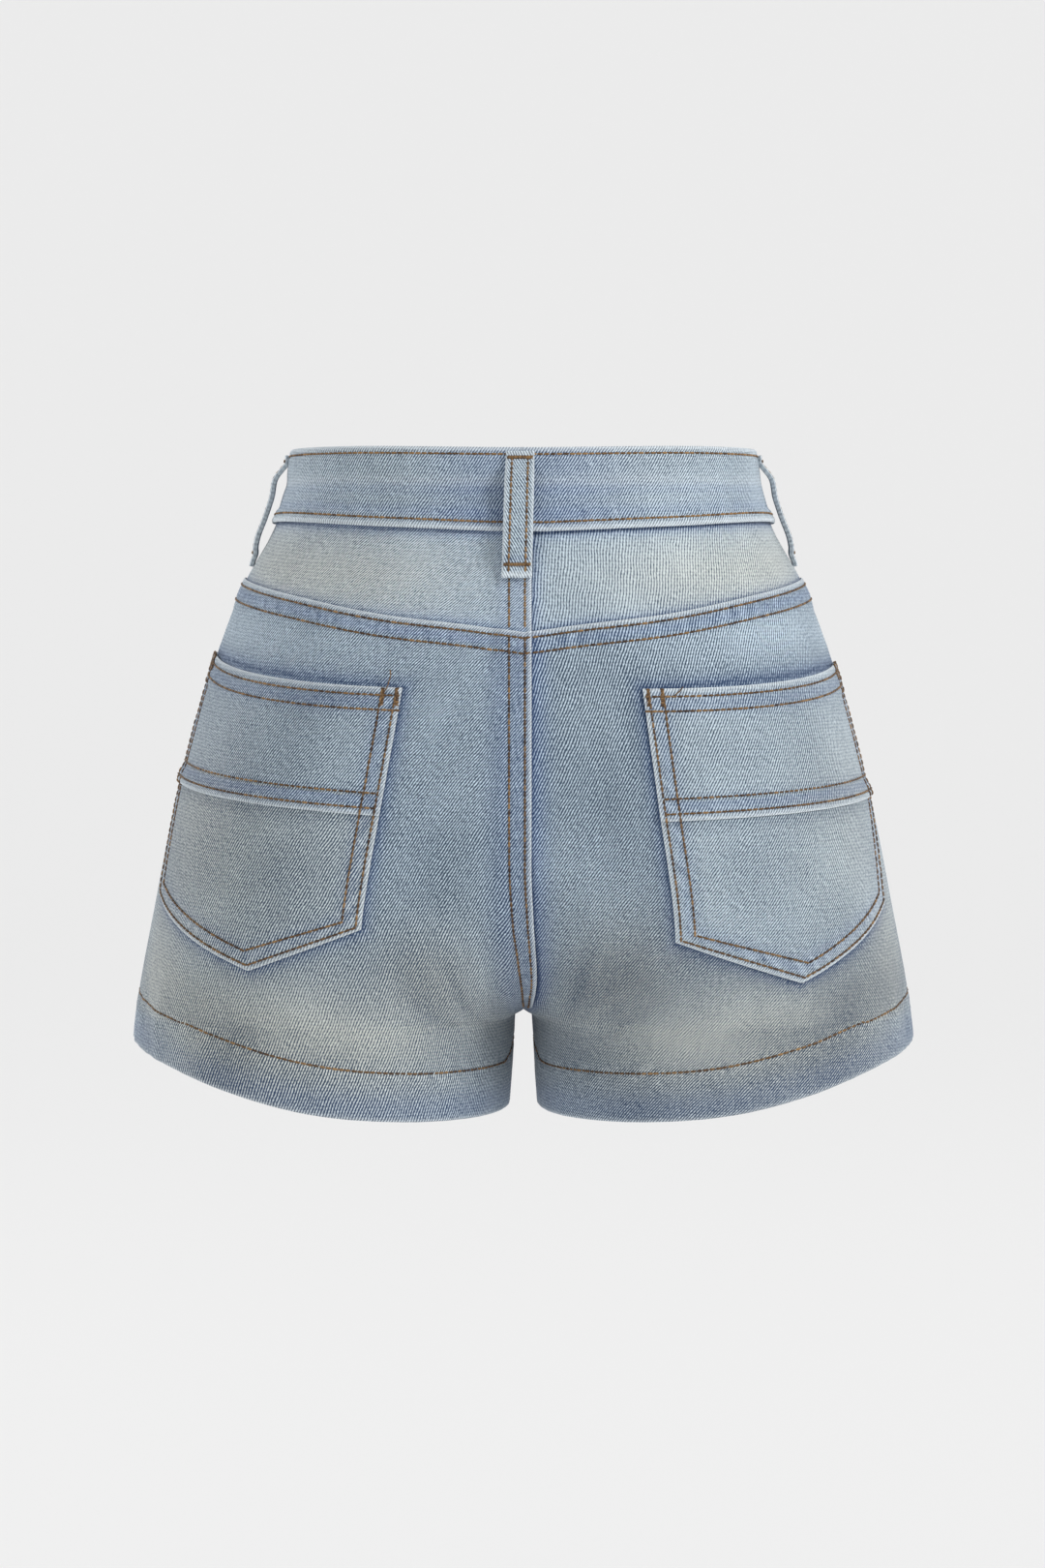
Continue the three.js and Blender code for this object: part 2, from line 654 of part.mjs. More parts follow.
function frontHeight(sideName, row, c) {
  const column = (z) => frontColumn(sideName, c, z);
  const top = heightOn('front', column, BAND_BOTTOM, 4.2);
  const hem = heightOn('front', column, HEM, 0);
  const crotch = mix(CROTCH_Z, -262, ease(clamp((c - 1) / (FRONT_COLUMNS - 1), 0, 1)));
  if (row === 0) {
    return top;
  }
  if (row === 1) {
    return top - 5;
  }
  if (row <= 6) {
    return mix(top - 5, mix(-225, -205, c / FRONT_COLUMNS), (row - 1) / 5);
  }
  const knee = mix(-225, -205, c / FRONT_COLUMNS);
  if (row <= 13) {
    const share = mix(CROTCH_CROWD[row - 6], (row - 6) / 7, ease(c / 9));
    return mix(knee, crotch, share);
  }
  const hemTop = hem + hemRise('front', column, hem);
  const below = row - 13;
  if (below <= 3) {
    return mix(crotch, hemTop, [0, 0.12, 0.42, 1][below]);
  }
  return mix(hemTop - 1.2, hem, [0, 0.5, 0.97, 1][below - 4]);
}

function frontPanel(sideName) {
  const side = sideName === 'left' ? 1 : -1;
  const rows = 20;
  return sheet('front_' + sideName, FRONT_COLUMNS, rows, (c, r) => {
    const z = frontHeight(sideName, r, c);
    const a = frontColumn(sideName, c, z);
    const lift = frontDip(sideName, a, z);
    return edgeSpot({ side, branch: 'front', a, z, lift, wall: r >= 17 ? HEM_WALL : WALL }, r, rows, c);
  });
}

// A pocket piece stands on the back panel's own points, moved out
function pocketPiece(sideName, part) {
  const side = sideName === 'left' ? 1 : -1;
  const first = BACK.near + BACK.inner;
  const upper = part === 'upper';
  const rows = upper ? [3, 3.6, 4, 5, 5.38, 6] : [5.44, 6, 7, 8, 9, 10];
  return sheet('pocket_' + sideName + '_' + part, BACK.pocket, rows.length - 1, (k, r) => {
    const c = first + k;
    const row = rows[r];
    const low = Math.floor(row);
    const one = backHeight(sideName, low, c);
    const two = backHeight(sideName, Math.min(low + 1, 10), c);
    const z = mix(one, two, row - low);
    const a = backColumn(sideName, c, z);
    let lift = LAP;
    let wall = WALL;
    if (upper && row <= 3.6) {
      lift += POCKET_HEM_WALL - WALL;
      wall = POCKET_HEM_WALL;
    }
    if (upper && row > 5) {
      lift += LAP;
    }
    return { side, branch: 'back', a, z, lift, wall };
  }, { colour: COLOURS.pocket });
}

// A belt loop: a strap sewn at both ends that stands off the band between them
function beltLoop(loop) {
  const side = loop.side === 'left' ? 1 : -1;
  const across = [-0.5, 0, 0.5];
  const foot = loop.branch === 'back' ? LAP : 0;
  return sheet(loop.name, across.length - 1, LOOP_PATH.length - 1, (c, r) => {
    const { down, stand } = LOOP_PATH[r];
    const z = mix(loop.top, loop.low, down);
    const shift = across[c] * mix(loop.wide, loop.foot, down);
    const puff = loop.puff * clamp((stand - 3.4) / 2, 0, 1);
    const lift = stand + puff + (down > 0.86 ? foot : 0) + LOOP_WALL;
    if (loop.branch !== 'side') {
      return { side, branch: loop.branch, a: loop.at + shift, z, lift, wall: LOOP_WALL };
    }
    const branch = shift > 0 ? 'front' : 'back';
    const a = lengthAt(z, branch) - Math.abs(shift);
    return { side, branch, a, z, lift, wall: LOOP_WALL };
  });
}

// A flat patch behind the fly, on the wearer's left
function patch(name, size, columns, rows, options) {
  return sheet(name, columns, rows, (c, r) => {
    const a = mix(size.inner, size.outer, c / columns);
    const z = mix(size.from, size.to, r / rows);
    return { side: 1, branch: 'front', a, z, lift: size.lift, wall: size.wall };
  }, options);
}

// The tack button's domed head, standing on the band's front end
function waistButton() {
  const { a, z, radius, stand, height } = BUTTON;
  const profile = [
    new THREE.Vector2(0, 0), new THREE.Vector2(radius - 0.6, 0), new THREE.Vector2(radius, 0.7),
    new THREE.Vector2(radius, 1.5), new THREE.Vector2(radius - 0.9, 2.3),
    new THREE.Vector2(radius - 2.2, 2.5),
    new THREE.Vector2(radius - 3.2, 2.2), new THREE.Vector2(3, 2.6), new THREE.Vector2(0, height),
  ];
  const steps = 20;
  const n = outward(1, 'front', a, z);
  const base = skin(1, 'front', a, z).addScaledVector(n, stand);
  const turn = new THREE.Quaternion().setFromUnitVectors(new THREE.Vector3(0, 0, 1), n);
  const positions = [];
  const index = [];
  const place = (x, y, h) => {
    const p = new THREE.Vector3(x, y, h).applyQuaternion(turn).add(base);
    positions.push(p.x, p.y, p.z);
  };
  place(0, 0, 0);
  for (const { x, y } of profile.slice(1, -1)) {
    for (let i = 0; i < steps; i += 1) {
      const angle = 2 * Math.PI * i / steps;
      place(x * Math.cos(angle), x * Math.sin(angle), y);
    }
  }
  place(0, 0, height);
  const rings = profile.length - 2;
  const last = 1 + rings * steps;
  for (let i = 0; i < steps; i += 1) {
    const next = (i + 1) % steps;
    index.push(0, 1 + next, 1 + i);
    for (let k = 0; k < rings - 1; k += 1) {
      const one = 1 + k * steps;
      const two = one + steps;
      index.push(one + i, one + next, two + next, one + i, two + next, two + i);
    }
    index.push(last, last - steps + i, last - steps + next);
  }
  return solid('waist_button', positions, index, COLOURS.metal, { metal: true });
}

const parts = new THREE.Group();
parts.name = 'denim_shorts';
parts.add(waistband());
for (const sideName of ['left', 'right']) {
  parts.add(yoke(sideName));
  parts.add(backPanel(sideName));
  parts.add(frontPanel(sideName));
  parts.add(pocketPiece(sideName, 'upper'));
  parts.add(pocketPiece(sideName, 'lower'));
}

for (const loop of LOOPS) {
  parts.add(beltLoop(loop));
}
parts.add(patch('fly_shield', SHIELD, 6, 6, { colour: COLOURS.denim }));
parts.add(patch('zip_tape', ZIP.tape, 5, 5, { colour: COLOURS.tape }));
parts.add(patch('zip_chain', ZIP.chain, 2, 5, { colour: COLOURS.brass, metal: true }));
parts.add(patch('zip_slider', ZIP.slider, 2, 2, { colour: COLOURS.brass, metal: true }));
parts.add(waistButton());

export default parts;
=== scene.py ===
# Denim shorts in their worn shape. Lengths are millimetres until a mesh is made, then metres.
import math

import bpy
import numpy as np
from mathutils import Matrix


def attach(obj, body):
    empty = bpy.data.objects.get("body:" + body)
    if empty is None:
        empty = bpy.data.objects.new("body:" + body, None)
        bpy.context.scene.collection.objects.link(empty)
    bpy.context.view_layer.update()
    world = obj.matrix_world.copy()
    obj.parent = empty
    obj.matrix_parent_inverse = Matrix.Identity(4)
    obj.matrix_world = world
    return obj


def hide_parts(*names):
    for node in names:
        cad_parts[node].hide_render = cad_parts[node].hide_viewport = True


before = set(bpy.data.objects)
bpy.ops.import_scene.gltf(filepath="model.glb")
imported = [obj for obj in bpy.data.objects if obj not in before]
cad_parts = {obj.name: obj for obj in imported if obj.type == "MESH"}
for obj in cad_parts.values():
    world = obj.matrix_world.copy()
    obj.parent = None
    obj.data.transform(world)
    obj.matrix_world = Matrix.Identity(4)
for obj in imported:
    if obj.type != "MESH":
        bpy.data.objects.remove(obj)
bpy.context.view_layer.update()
bpy.ops.object.select_all(action="DESELECT")

# Back panels.
# Each is one piece of washed twill denim, from the yoke seam down to the turned hem. The wearer's
# left one is folded over the right one down the seat seam, and both are folded over the yoke.
# where the legs part, and how square a level section is (2 would be an ellipse)
CROTCH, FULLNESS = -289.5, 2.15
# for each half: which way it faces, and the height and roundness of its centre line's curve
RISE = {"back": (1, 140.0, 2.5), "front": (-1, 125.0, 2.4)}
# height, half width at the side, back depth, front depth, where the depth is greatest
LEVELS = np.array([
    [-350, 203.2, 97, 87, 104.5], [-294, 200.6, 103, 89, 102], [-234, 190.0, 117, 94, 88],
    [-174, 177.6, 120, 97, 68], [-114, 160.4, 111, 96, 44], [-69, 143.0, 100, 92, 22],
    [-40, 127.3, 93, 88, 8], [0, 118.6, 85, 84, 1], [20, 116.0, 83, 83, 0],
])
# how far a lap stands up, the cloth's own thickness and that of the turned hem
LAP, WALL, HEM_WALL = 1.3, 1.0, 2.1
# distances of the needle rows from the folded edge that they hold
YOKE_ROWS, SEAT_ROWS = (3.0, 10.4), (3.3, 11.2)


def ease(v):
    s = np.clip(v, 0, 1)
    return s * s * (3 - 2 * s)


def swell(v, at, spread):
    """1 at a place, falling softly to 0 on both sides of it."""
    return np.exp(-((v - at) / spread) ** 2)


def from_edge(v, spread, power=2):
    """1 on an edge, falling softly to 0 inwards from it."""
    return np.exp(-(np.clip(v, 0, None) / spread) ** power)


def flow(keys, values, at):
    """A smooth curve through a short table."""
    keys, values = np.asarray(keys, float), np.asarray(values, float)
    step = np.diff(keys)
    slope = np.diff(values) / step
    lean = np.empty_like(values)
    lean[0], lean[-1] = slope[0], slope[-1]
    lean[1:-1] = (slope[:-1] * step[1:] + slope[1:] * step[:-1]) / (step[1:] + step[:-1])
    at = np.clip(at, keys[0], keys[-1])
    i = np.clip(np.searchsorted(keys, at, side="right") - 1, 0, len(keys) - 2)
    s = (at - keys[i]) / step[i]
    low = (1 + 2 * s) * (1 - s) ** 2 * values[i] + s * (1 - s) ** 2 * step[i] * lean[i]
    return low + s * s * (3 - 2 * s) * values[i + 1] + s * s * (s - 1) * step[i] * lean[i + 1]


def level_line(z, branch):
    """Half of a level section, from the centre or inner leg to the side, and its running length."""
    half = flow(LEVELS[:, 0], LEVELS[:, 1], z)[:, None]
    depth = flow(LEVELS[:, 0], LEVELS[:, 2 if branch == "back" else 3], z)[:, None]
    axis = flow(LEVELS[:, 0], LEVELS[:, 4], z)[:, None]
    below = np.maximum(CROTCH - z, 0)[:, None]
    gap = 4 * np.sqrt(1 - (1 - np.clip(below / 4, 0, 1)) ** 2) + 0.066 * below
    _, height, power = RISE[branch]
    up = np.clip((z - CROTCH) / height, 0, 1)
    share = np.clip((1 - (1 - up) ** power) ** (1 / power), 0, 0.9995)
    start = np.arcsin(share ** (FULLNESS / 2))[:, None]
    first = np.cos(start) ** (2 / FULLNESS)
    angle = start + (np.pi / 2 - start) * np.linspace(0, 1, 25)
    part = np.clip(np.cos(angle), 0, None) ** (2 / FULLNESS) / first
    x_in = axis - (axis - gap) * (part * first + (1 - first) * part ** 2.6)
    y_in = depth * np.sin(angle) ** (2 / FULLNESS)
    turn = np.linspace(0, np.pi / 2, 41)[1:]
    x_out = axis + (half - axis) * np.sin(turn) ** (2 / FULLNESS)
    y_out = depth * np.clip(np.cos(turn), 0, None) ** (2 / FULLNESS)
    x, y = np.hstack([x_in, x_out]), np.hstack([y_in, y_out])
    run = np.cumsum(np.hypot(np.diff(x, axis=1), np.diff(y, axis=1)), 1)
    return x, y, np.hstack([np.zeros((len(z), 1)), run])


heights = np.unique(np.hstack([np.linspace(-358, 24, 1600), CROTCH + np.linspace(-3, 25, 900)]))
half_girth = {b: level_line(heights, b)[2][:, -1] for b in RISE}


def length(z, branch):
    return np.interp(z, heights, half_girth[branch])


def bare_skin(side, branch, a, z):
    x, y, run = level_line(z, branch)
    way = np.clip(np.abs(a), 0, run[:, -1])
    i = np.clip((run <= way[:, None]).sum(1) - 1, 0, run.shape[1] - 2)
    r = np.arange(len(z))
    s = (way - run[r, i]) / np.maximum(run[r, i + 1] - run[r, i], 1e-9)
    px = x[r, i] * (1 - s) + x[r, i + 1] * s
    py = y[r, i] * (1 - s) + y[r, i + 1] * s
    px = np.where((a < 0) & (z >= CROTCH), -px, px)
    py = np.where((a < 0) & (z < CROTCH), -py, py)
    return np.stack([side * px, RISE[branch][0] * py, z], 1)


def skin(side, branch, a, z):
    """The garment's outer form, rounded where the two halves meet down the centre."""
    p = bare_skin(side, branch, a, z)
    soft = 7.0 * (1 - ease((np.abs(a) - 4) / 16)) * ease((z - CROTCH - 3) / 14)
    near = soft > 0.05
    if near.any():
        q = np.zeros((near.sum(), 3))
        for k, w in ((-1, 0.15), (-0.5, 0.22), (0, 0.26), (0.5, 0.22), (1, 0.15)):
            q += w * bare_skin(side, branch, a[near] + k * soft[near], z[near])
        p[near] = q
    return p


def place(side, branch, a, z, lift):
    """Points that stand off the form by lift, and the outward directions there."""
    shape = np.broadcast(a, z, lift).shape
    a, z, lift = (np.broadcast_to(v, shape).ravel().astype(float) for v in (a, z, lift))
    reach = length(z, branch)
    at = np.where(np.abs(a) <= 0.25, 0, a)
    across = (skin(side, branch, np.minimum(at + 0.5, reach), z)
              - skin(side, branch, np.minimum(at, reach) - 0.5, z))
    high = z >= CROTCH
    up = np.where(high, z + 0.25, np.minimum(z + 0.25, CROTCH - 1e-4))
    down = np.where(high, np.maximum(z - 0.25, CROTCH), z - 0.25)
    rise = skin(side, branch, at, up) - skin(side, branch, at, down)
    out = np.cross(across, rise) * -side * RISE[branch][0]
    size = np.linalg.norm(out, axis=1)
    foot = (size < 1e-7) | ((np.abs(z - CROTCH) < 0.06) & (at == 0))
    out[foot] = (-side, 0, -1)
    out /= np.linalg.norm(out, axis=1)[:, None]
    p = skin(side, branch, np.minimum(a, reach), z) + out * lift[:, None]
    return p.reshape(shape + (3,)), out.reshape(shape + (3,))


def wobble(s, seed, wave=9.0):
    """An uneven run of soft bumps along a seam, about -1 to 1."""
    rng = np.random.default_rng(seed)
    total = np.zeros_like(np.asarray(s, float))
    for k in range(6):
        total += np.sin(2 * np.pi * s / (wave * rng.uniform(0.45, 2.2)) + rng.uniform(0, 6.28))
    return total / 3.2


def blot(x, y, cell, seed):
    """Smooth patches over a sheet, 0 to 1."""
    rng = np.random.default_rng(seed)
    grid = rng.random((64, 64))
    u, v = x / cell, y / cell
    i, j = np.floor(u).astype(int), np.floor(v).astype(int)
    s, t = ease(u - i), ease(v - j)
    g = lambda m, n: grid[m % 64, n % 64]
    low = g(i, j) * (1 - s) + g(i + 1, j) * s
    high = g(i, j + 1) * (1 - s) + g(i + 1, j + 1) * s
    return low * (1 - t) + high * t


def mounds(table, branch, side, a, z):
    """Sum of soft ridges and troughs, each placed by its distance from the side seam and height."""
    away = length(z, branch) - a
    total = np.zeros(np.broadcast(a, z).shape)
    for who, where, far, level, angle, long, wide, high in table:
        if where != branch or who != side:
            continue
        c, s = math.cos(math.radians(angle)), math.sin(math.radians(angle))
        along = ((away - far) * c + (z - level) * s) / long
        across = (-(away - far) * s + (z - level) * c) / wide
        total += high * np.exp(-2 * along ** 2 - 2 * across ** 2)
    return total * np.where(a < 0, 0, ease(a / 22)) * ease(away / 25)


# side, branch, distance from the side seam, height, angle, length, width, ridge or trough
FOLDS = [
    (1, "back", 214, -277, 128, 44, 15, -1.5), (1, "back", 196, -300, 150, 50, 20, 1.4),
    (1, "back", 112, -296, 84, 40, 19, -1.5), (1, "back", 214, -205, 104, 48, 18, -1.2),
    (-1, "back", 218, -272, 122, 48, 16, -1.6), (-1, "back", 182, -302, 160, 46, 20, 1.2),
    (-1, "back", 98, -290, 96, 44, 20, -1.6), (-1, "back", 212, -190, 98, 54, 18, -1.1),
    (1, "front", 186, -262, 132, 58, 16, -2.0), (1, "front", 150, -224, 142, 64, 18, 1.6),
    (1, "front", 96, -284, 96, 48, 19, -1.6), (-1, "front", 182, -256, 128, 54, 17, -1.8),
    (-1, "front", 142, -214, 146, 68, 19, 1.7), (-1, "front", 104, -276, 92, 44, 18, -1.4),
]
CREASES = [
    (1, "back", 232, -268, 118, 20, 4.5, -0.7), (1, "back", 238, -280, 132, 17, 3.6, -0.8),
    (1, "back", 246, -262, 108, 22, 4.0, 0.5), (1, "back", 222, -286, 146, 22, 4.4, -0.6),
    (1, "back", 190, -128, 78, 26, 7, 0.5), (1, "back", 176, -205, 96, 40, 8, 0.55),
    (1, "back", 60, -292, 88, 26, 7, 0.7), (1, "back", 40, -286, 92, 22, 5, -0.6),
    (1, "back", 26, -292, 96, 18, 4, -0.55), (1, "back", 150, -310, 14, 30, 8, -0.5),
    (-1, "back", 236, -262, 112, 24, 4.4, -0.8), (-1, "back", 242, -276, 126, 17, 3.8, -0.7),
    (-1, "back", 228, -282, 140, 22, 4.2, 0.6), (-1, "back", 214, -288, 152, 18, 4.2, -0.6),
    (-1, "back", 192, -135, 102, 30, 8, 0.5), (-1, "back", 180, -222, 88, 34, 7, -0.5),
    (-1, "back", 52, -288, 84, 28, 7, 0.6), (-1, "back", 34, -292, 94, 20, 5, -0.6),
    (-1, "back", 140, -312, 168, 34, 8, -0.5), (-1, "back", 196, -250, 134, 30, 6, 0.5),
    (1, "front", 214, -250, 128, 30, 5.5, -1.0), (1, "front", 206, -268, 140, 26, 5, 0.8),
    (1, "front", 196, -282, 152, 28, 5.5, -0.9), (1, "front", 168, -180, 118, 40, 8, -0.8),
    (1, "front", 60, -288, 90, 28, 6, 0.7), (1, "front", 130, -304, 20, 34, 8, -0.6),
    (-1, "front", 212, -246, 122, 32, 5.5, -1.0), (-1, "front", 202, -264, 136, 24, 5, 0.8),
    (-1, "front", 190, -280, 150, 30, 5.2, -0.9), (-1, "front", 164, -176, 112, 36, 9, -0.8),
    (-1, "front", 66, -284, 86, 30, 6, 0.6), (-1, "front", 126, -300, 164, 30, 8, -0.6),
    (1, "front", 122, -198, 157, 62, 8, -1.2), (1, "front", 108, -224, 168, 52, 7, 0.9),
    (1, "front", 100, -170, 149, 46, 9, -0.8), (1, "front", 130, -246, 176, 46, 7, -1.0),
    (-1, "front", 128, -190, 155, 56, 8, -1.1), (-1, "front", 110, -217, 166, 60, 7, 0.9),
    (-1, "front", 94, -164, 146, 42, 9, -0.7), (-1, "front", 118, -241, 178, 50, 8, -1.1),
    (1, "front", 20, -240, 96, 60, 7, -0.8), (-1, "front", 22, -226, 86, 66, 7, -0.8),
]
# heights round the body, where 0 is the centre back, 1 the side and 2 the centre front
YOKE_SEAM = ([0, 0.1, 0.33, 0.63, 0.88, 1], [-90.6, -87.4, -82, -73, -68.3, -67.5])
HEM = ([0, 0.23, 0.35, 0.51, 0.64, 0.77, 0.9, 1, 1.15, 1.4, 1.7, 2],
       [-339.5, -339.3, -338, -332.9, -323.4, -312.6, -306.4, -304.6, -307, -317, -328, -339.5])
# the hem's height, and the levels below which its relief and its double cloth are looked for
HEM_HIGH, NEAR_HEM, HEM_FOLD = 25.0, -240, -250
# corners as distance from the centre and height, the tip as share across and height
POCKETS = {
    1: {"inner": [(60, -117.5), (71.6, -180.4), (82.5, -237.3)],
        "outer": [(206, -105), (226, -170.6), (230, -227)], "tip": (0.375, -259.6), "sag": 2.5},
    -1: {"inner": [(59, -118), (68.2, -183.3), (78.2, -244)],
         "outer": [(208, -110), (226, -178), (218, -231.4)], "tip": (0.425, -265.9), "sag": 2.5},
}


def pocket_edge(side, which, z):
    (ta, tz), (ma, mz), (la, lz) = POCKETS[side][which]
    far = length(lz, "back") - la
    keep = far if which == "inner" else far + (26 - far) * ease((lz - z) / 70)
    top = ta / length(tz, "back") * length(z, "back")
    upper = ma + (ta - ma) * (z - mz) / (tz - mz)
    lower = la + (ma - la) * (z - lz) / (mz - lz)
    below = np.where(z >= lz, lower, length(z, "back") - keep)
    return np.where(z >= tz, top, np.where(z >= mz, upper, below))


def turn_of(branch, a, z):
    share = np.clip(np.abs(a) / length(z, branch), 0, 1)
    return share if branch == "back" else 2 - share


def line_at(table, branch, a, z):
    """Height of a seam, the hem or an edge of the waistband above or below a spot."""
    return flow(*table, turn_of(branch, a, z))


def knots(c, values):
    """Value of a column between evenly numbered ones."""
    return sum(np.clip(1 - np.abs(c - k), 0, None) * v for k, v in enumerate(values))


def lap_over(z):
    """How far the left back panel laps past the centre, more where the seat seam dips inwards."""
    return 4 + 2.2 * ease((-205 - z) / 50) + 4.0 * ease((-236 - z) / 46)


def back_column(side, c, z):
    """Distance of a column from the centre, round the pocket's sides."""
    if side > 0:
        w = ease((z - CROTCH - 0.6) / 5)
        over = lap_over(z)
        wide, butt = [-over, 0, 4, 8.5, 17], [0.15, 2.2, 5, 9.5, 17]
    else:
        w = ease((z - CROTCH - 52) / 24)
        wide, butt = [-8.5, -4, 0, 4, 12], [0.15, 1.4, 3, 6, 12]
    low = [b + (a - b) * w for a, b in zip(wide, butt)]
    inner, outer = pocket_edge(side, "inner", z), pocket_edge(side, "outer", z)
    last = length(z, "back") - 0.15
    a = knots(np.minimum(c, 4), low)
    a = np.where(c > 4, low[4] + (inner - low[4]) * (c - 4) / 5, a)
    a = np.where(c > 9, inner + (outer - inner) * (c - 9) / 8, a)
    return np.where(c > 17, outer + (last - outer) * (c - 17) / 2, a)


def settle(branch, column, table, offset=0.0):
    z = np.full_like(column(np.array([-200.0])) + np.zeros(1), -200.0)
    for _ in range(8):
        z = line_at(table, branch, column(z), z) + offset
    return z


def hem_rise(branch, a, z):
    slope = (line_at(HEM, branch, a + 4, z) - line_at(HEM, branch, np.maximum(a - 4, 0), z)) / 8
    return HEM_HIGH * np.sqrt(1 + slope ** 2) + 9 * (1 - ease(np.abs(a) / 34))


def grid_of(column, top, middle, hem, upper, lower, power):
    """Heights and distances of a panel's grid: rows crowd towards the crotch at the centre."""
    first = middle + (top - middle) * (1 - upper[:, None]) ** power
    second = middle + (hem - middle) * lower[1:, None]
    z = np.vstack([first, second])
    return column(z), z


def stitch_groove(d, rows, deep=0.34, wide=1.0):
    return sum(-deep * np.exp(-((d - r) / wide) ** 2) for r in rows)


def folded_edge(d):
    """A folded edge rolls over at its last fraction of a millimetre."""
    return -0.42 * (1 - np.clip(d / 0.8, 0, 1)) ** 2 + 0.16 * swell(d, 1.7, 0.9)


def hem_lift(a, z, up, seed):
    """The turned hem: its groove and step, the ripple that the stitches pull, its rolled edge."""
    lift = stitch_groove(up, (HEM_HIGH,), 0.5, 1.2) + 0.22 * ease((HEM_HIGH - 0.5 - up) / 2)
    lift = lift + 0.22 * wobble(a + 0.3 * z, seed, 8) * swell(up, HEM_HIGH, 5)
    lift = lift - 0.75 * (1 - np.clip(up / 1.1, 0, 1)) ** 2
    return np.where(z < NEAR_HEM, lift, 0.0)


def centre_rise(side, a, z):
    if side < 0:
        return np.zeros(np.broadcast(a, z).shape)
    ending = ease((-196 - z) / 16)
    return LAP * (1 - ease((a - 8.5) / 9)) * ease((z - CROTCH - 2) / 12) * (1 + 0.65 * ending)


def seat_rows(z):
    """The two needle rows of the seat seam, as distances on the wearer's left."""
    return tuple(row - lap_over(z) for row in SEAT_ROWS)


def back_lift(side, a, z):
    seam = line_at(YOKE_SEAM, "back", a, z)
    d = seam - z
    cap = centre_rise(side, a, z)
    under = (1 - ease((a - 6) / 8)) * LAP if side < 0 else np.zeros_like(a)
    over_yoke = 1 - np.clip((d - 9) / 7.5, 0, 1)
    lift = cap + over_yoke * (LAP + np.maximum(np.minimum(cap, LAP), under))
    lift = lift + mounds(FOLDS, "back", side, a, z) + 1.35 * mounds(CREASES, "back", side, a, z)
    lift = lift + folded_edge(d) + stitch_groove(d, YOKE_ROWS)
    lift = lift + 0.16 * wobble(a, 11 + side) * swell(d, 6.5, 4.6)
    lift = lift + 0.10 * wobble(a, 17 + side, 6) * swell(d, 13.5, 4)
    if side > 0:
        edge = a + lap_over(z)
        lift = lift + folded_edge(edge) * ease((z - CROTCH - 4) / 8)
        calm = ease((z - CROTCH - 4) / 8)
        lift = lift + calm * stitch_groove(a, seat_rows(z))
        lift = lift + calm * 0.15 * wobble(z, 23, 7) * swell(a, 3.4, 3.6)
    else:
        lift = lift + 0.10 * wobble(z, 29, 7) * swell(a, 9, 4)
    up = (z - line_at(HEM, "back", a, z)) * HEM_HIGH / hem_rise("back", a, z)
    lift = lift + hem_lift(a, z, up, 31 + side)
    lift = lift + (z < NEAR_HEM) * 0.18 * wobble(a + 0.5 * z, 37 + side, 11) * ease((HEM_HIGH - up) / 9)
    side_gap = length(z, "back") - a
    lift = lift + 0.14 * wobble(z, 41 + side, 8) * swell(side_gap, 0, 6)
    return lift - 0.35 * swell(side_gap, 0, 1.1)


def outline_gap(side, a, z):
    """How far a spot lies outside the pocket's outline, minus inside."""
    corners = pocket_corners(side)
    gap = np.full(np.broadcast(a, z).shape, -1e3)
    for (pa, pz), (qa, qz) in zip(corners, corners[1:] + corners[:1]):
        da, dz = qa - pa, qz - pz
        size = math.hypot(da, dz)
        gap = np.maximum(gap, ((a - pa) * -dz + (z - pz) * da) / -size)
    return gap


def pocket_corners(side):
    spec = POCKETS[side]
    share, level = spec["tip"]
    i, o = float(pocket_edge(side, "inner", level)), float(pocket_edge(side, "outer", level))
    return spec["inner"] + [(i + (o - i) * share, level)] + spec["outer"][::-1]


def spots(table, a, z):
    """Sum of soft round patches: distance from the centre, height, width, height spread, amount."""
    return sum(k * np.exp(-((a - pa) / ra) ** 2 - ((z - pz) / rz) ** 2) for pa, pz, ra, rz, k in table)


BACK_FADE = {
    1: [(28, -150, 40, 60, -0.10), (110, -275, 60, 22, 0.12), (190, -270, 60, 34, 0.08),
        (60, -250, 40, 40, -0.10), (28, -262, 30, 34, 0.04), (150, -92, 90, 10, 0.14),
        (34, -318, 40, 20, -0.10), (235, -200, 26, 90, 0.14)],
    -1: [(34, -160, 36, 60, -0.06), (120, -290, 60, 26, 0.06), (170, -276, 70, 30, 0.02),
         (50, -225, 30, 50, 0.08), (24, -262, 30, 34, 0.02), (150, -92, 90, 12, 0.24),
         (30, -318, 34, 20, -0.10), (235, -200, 26, 90, 0.18), (50, -256, 40, 30, -0.08),
         (120, -286, 70, 22, 0.03)],
}


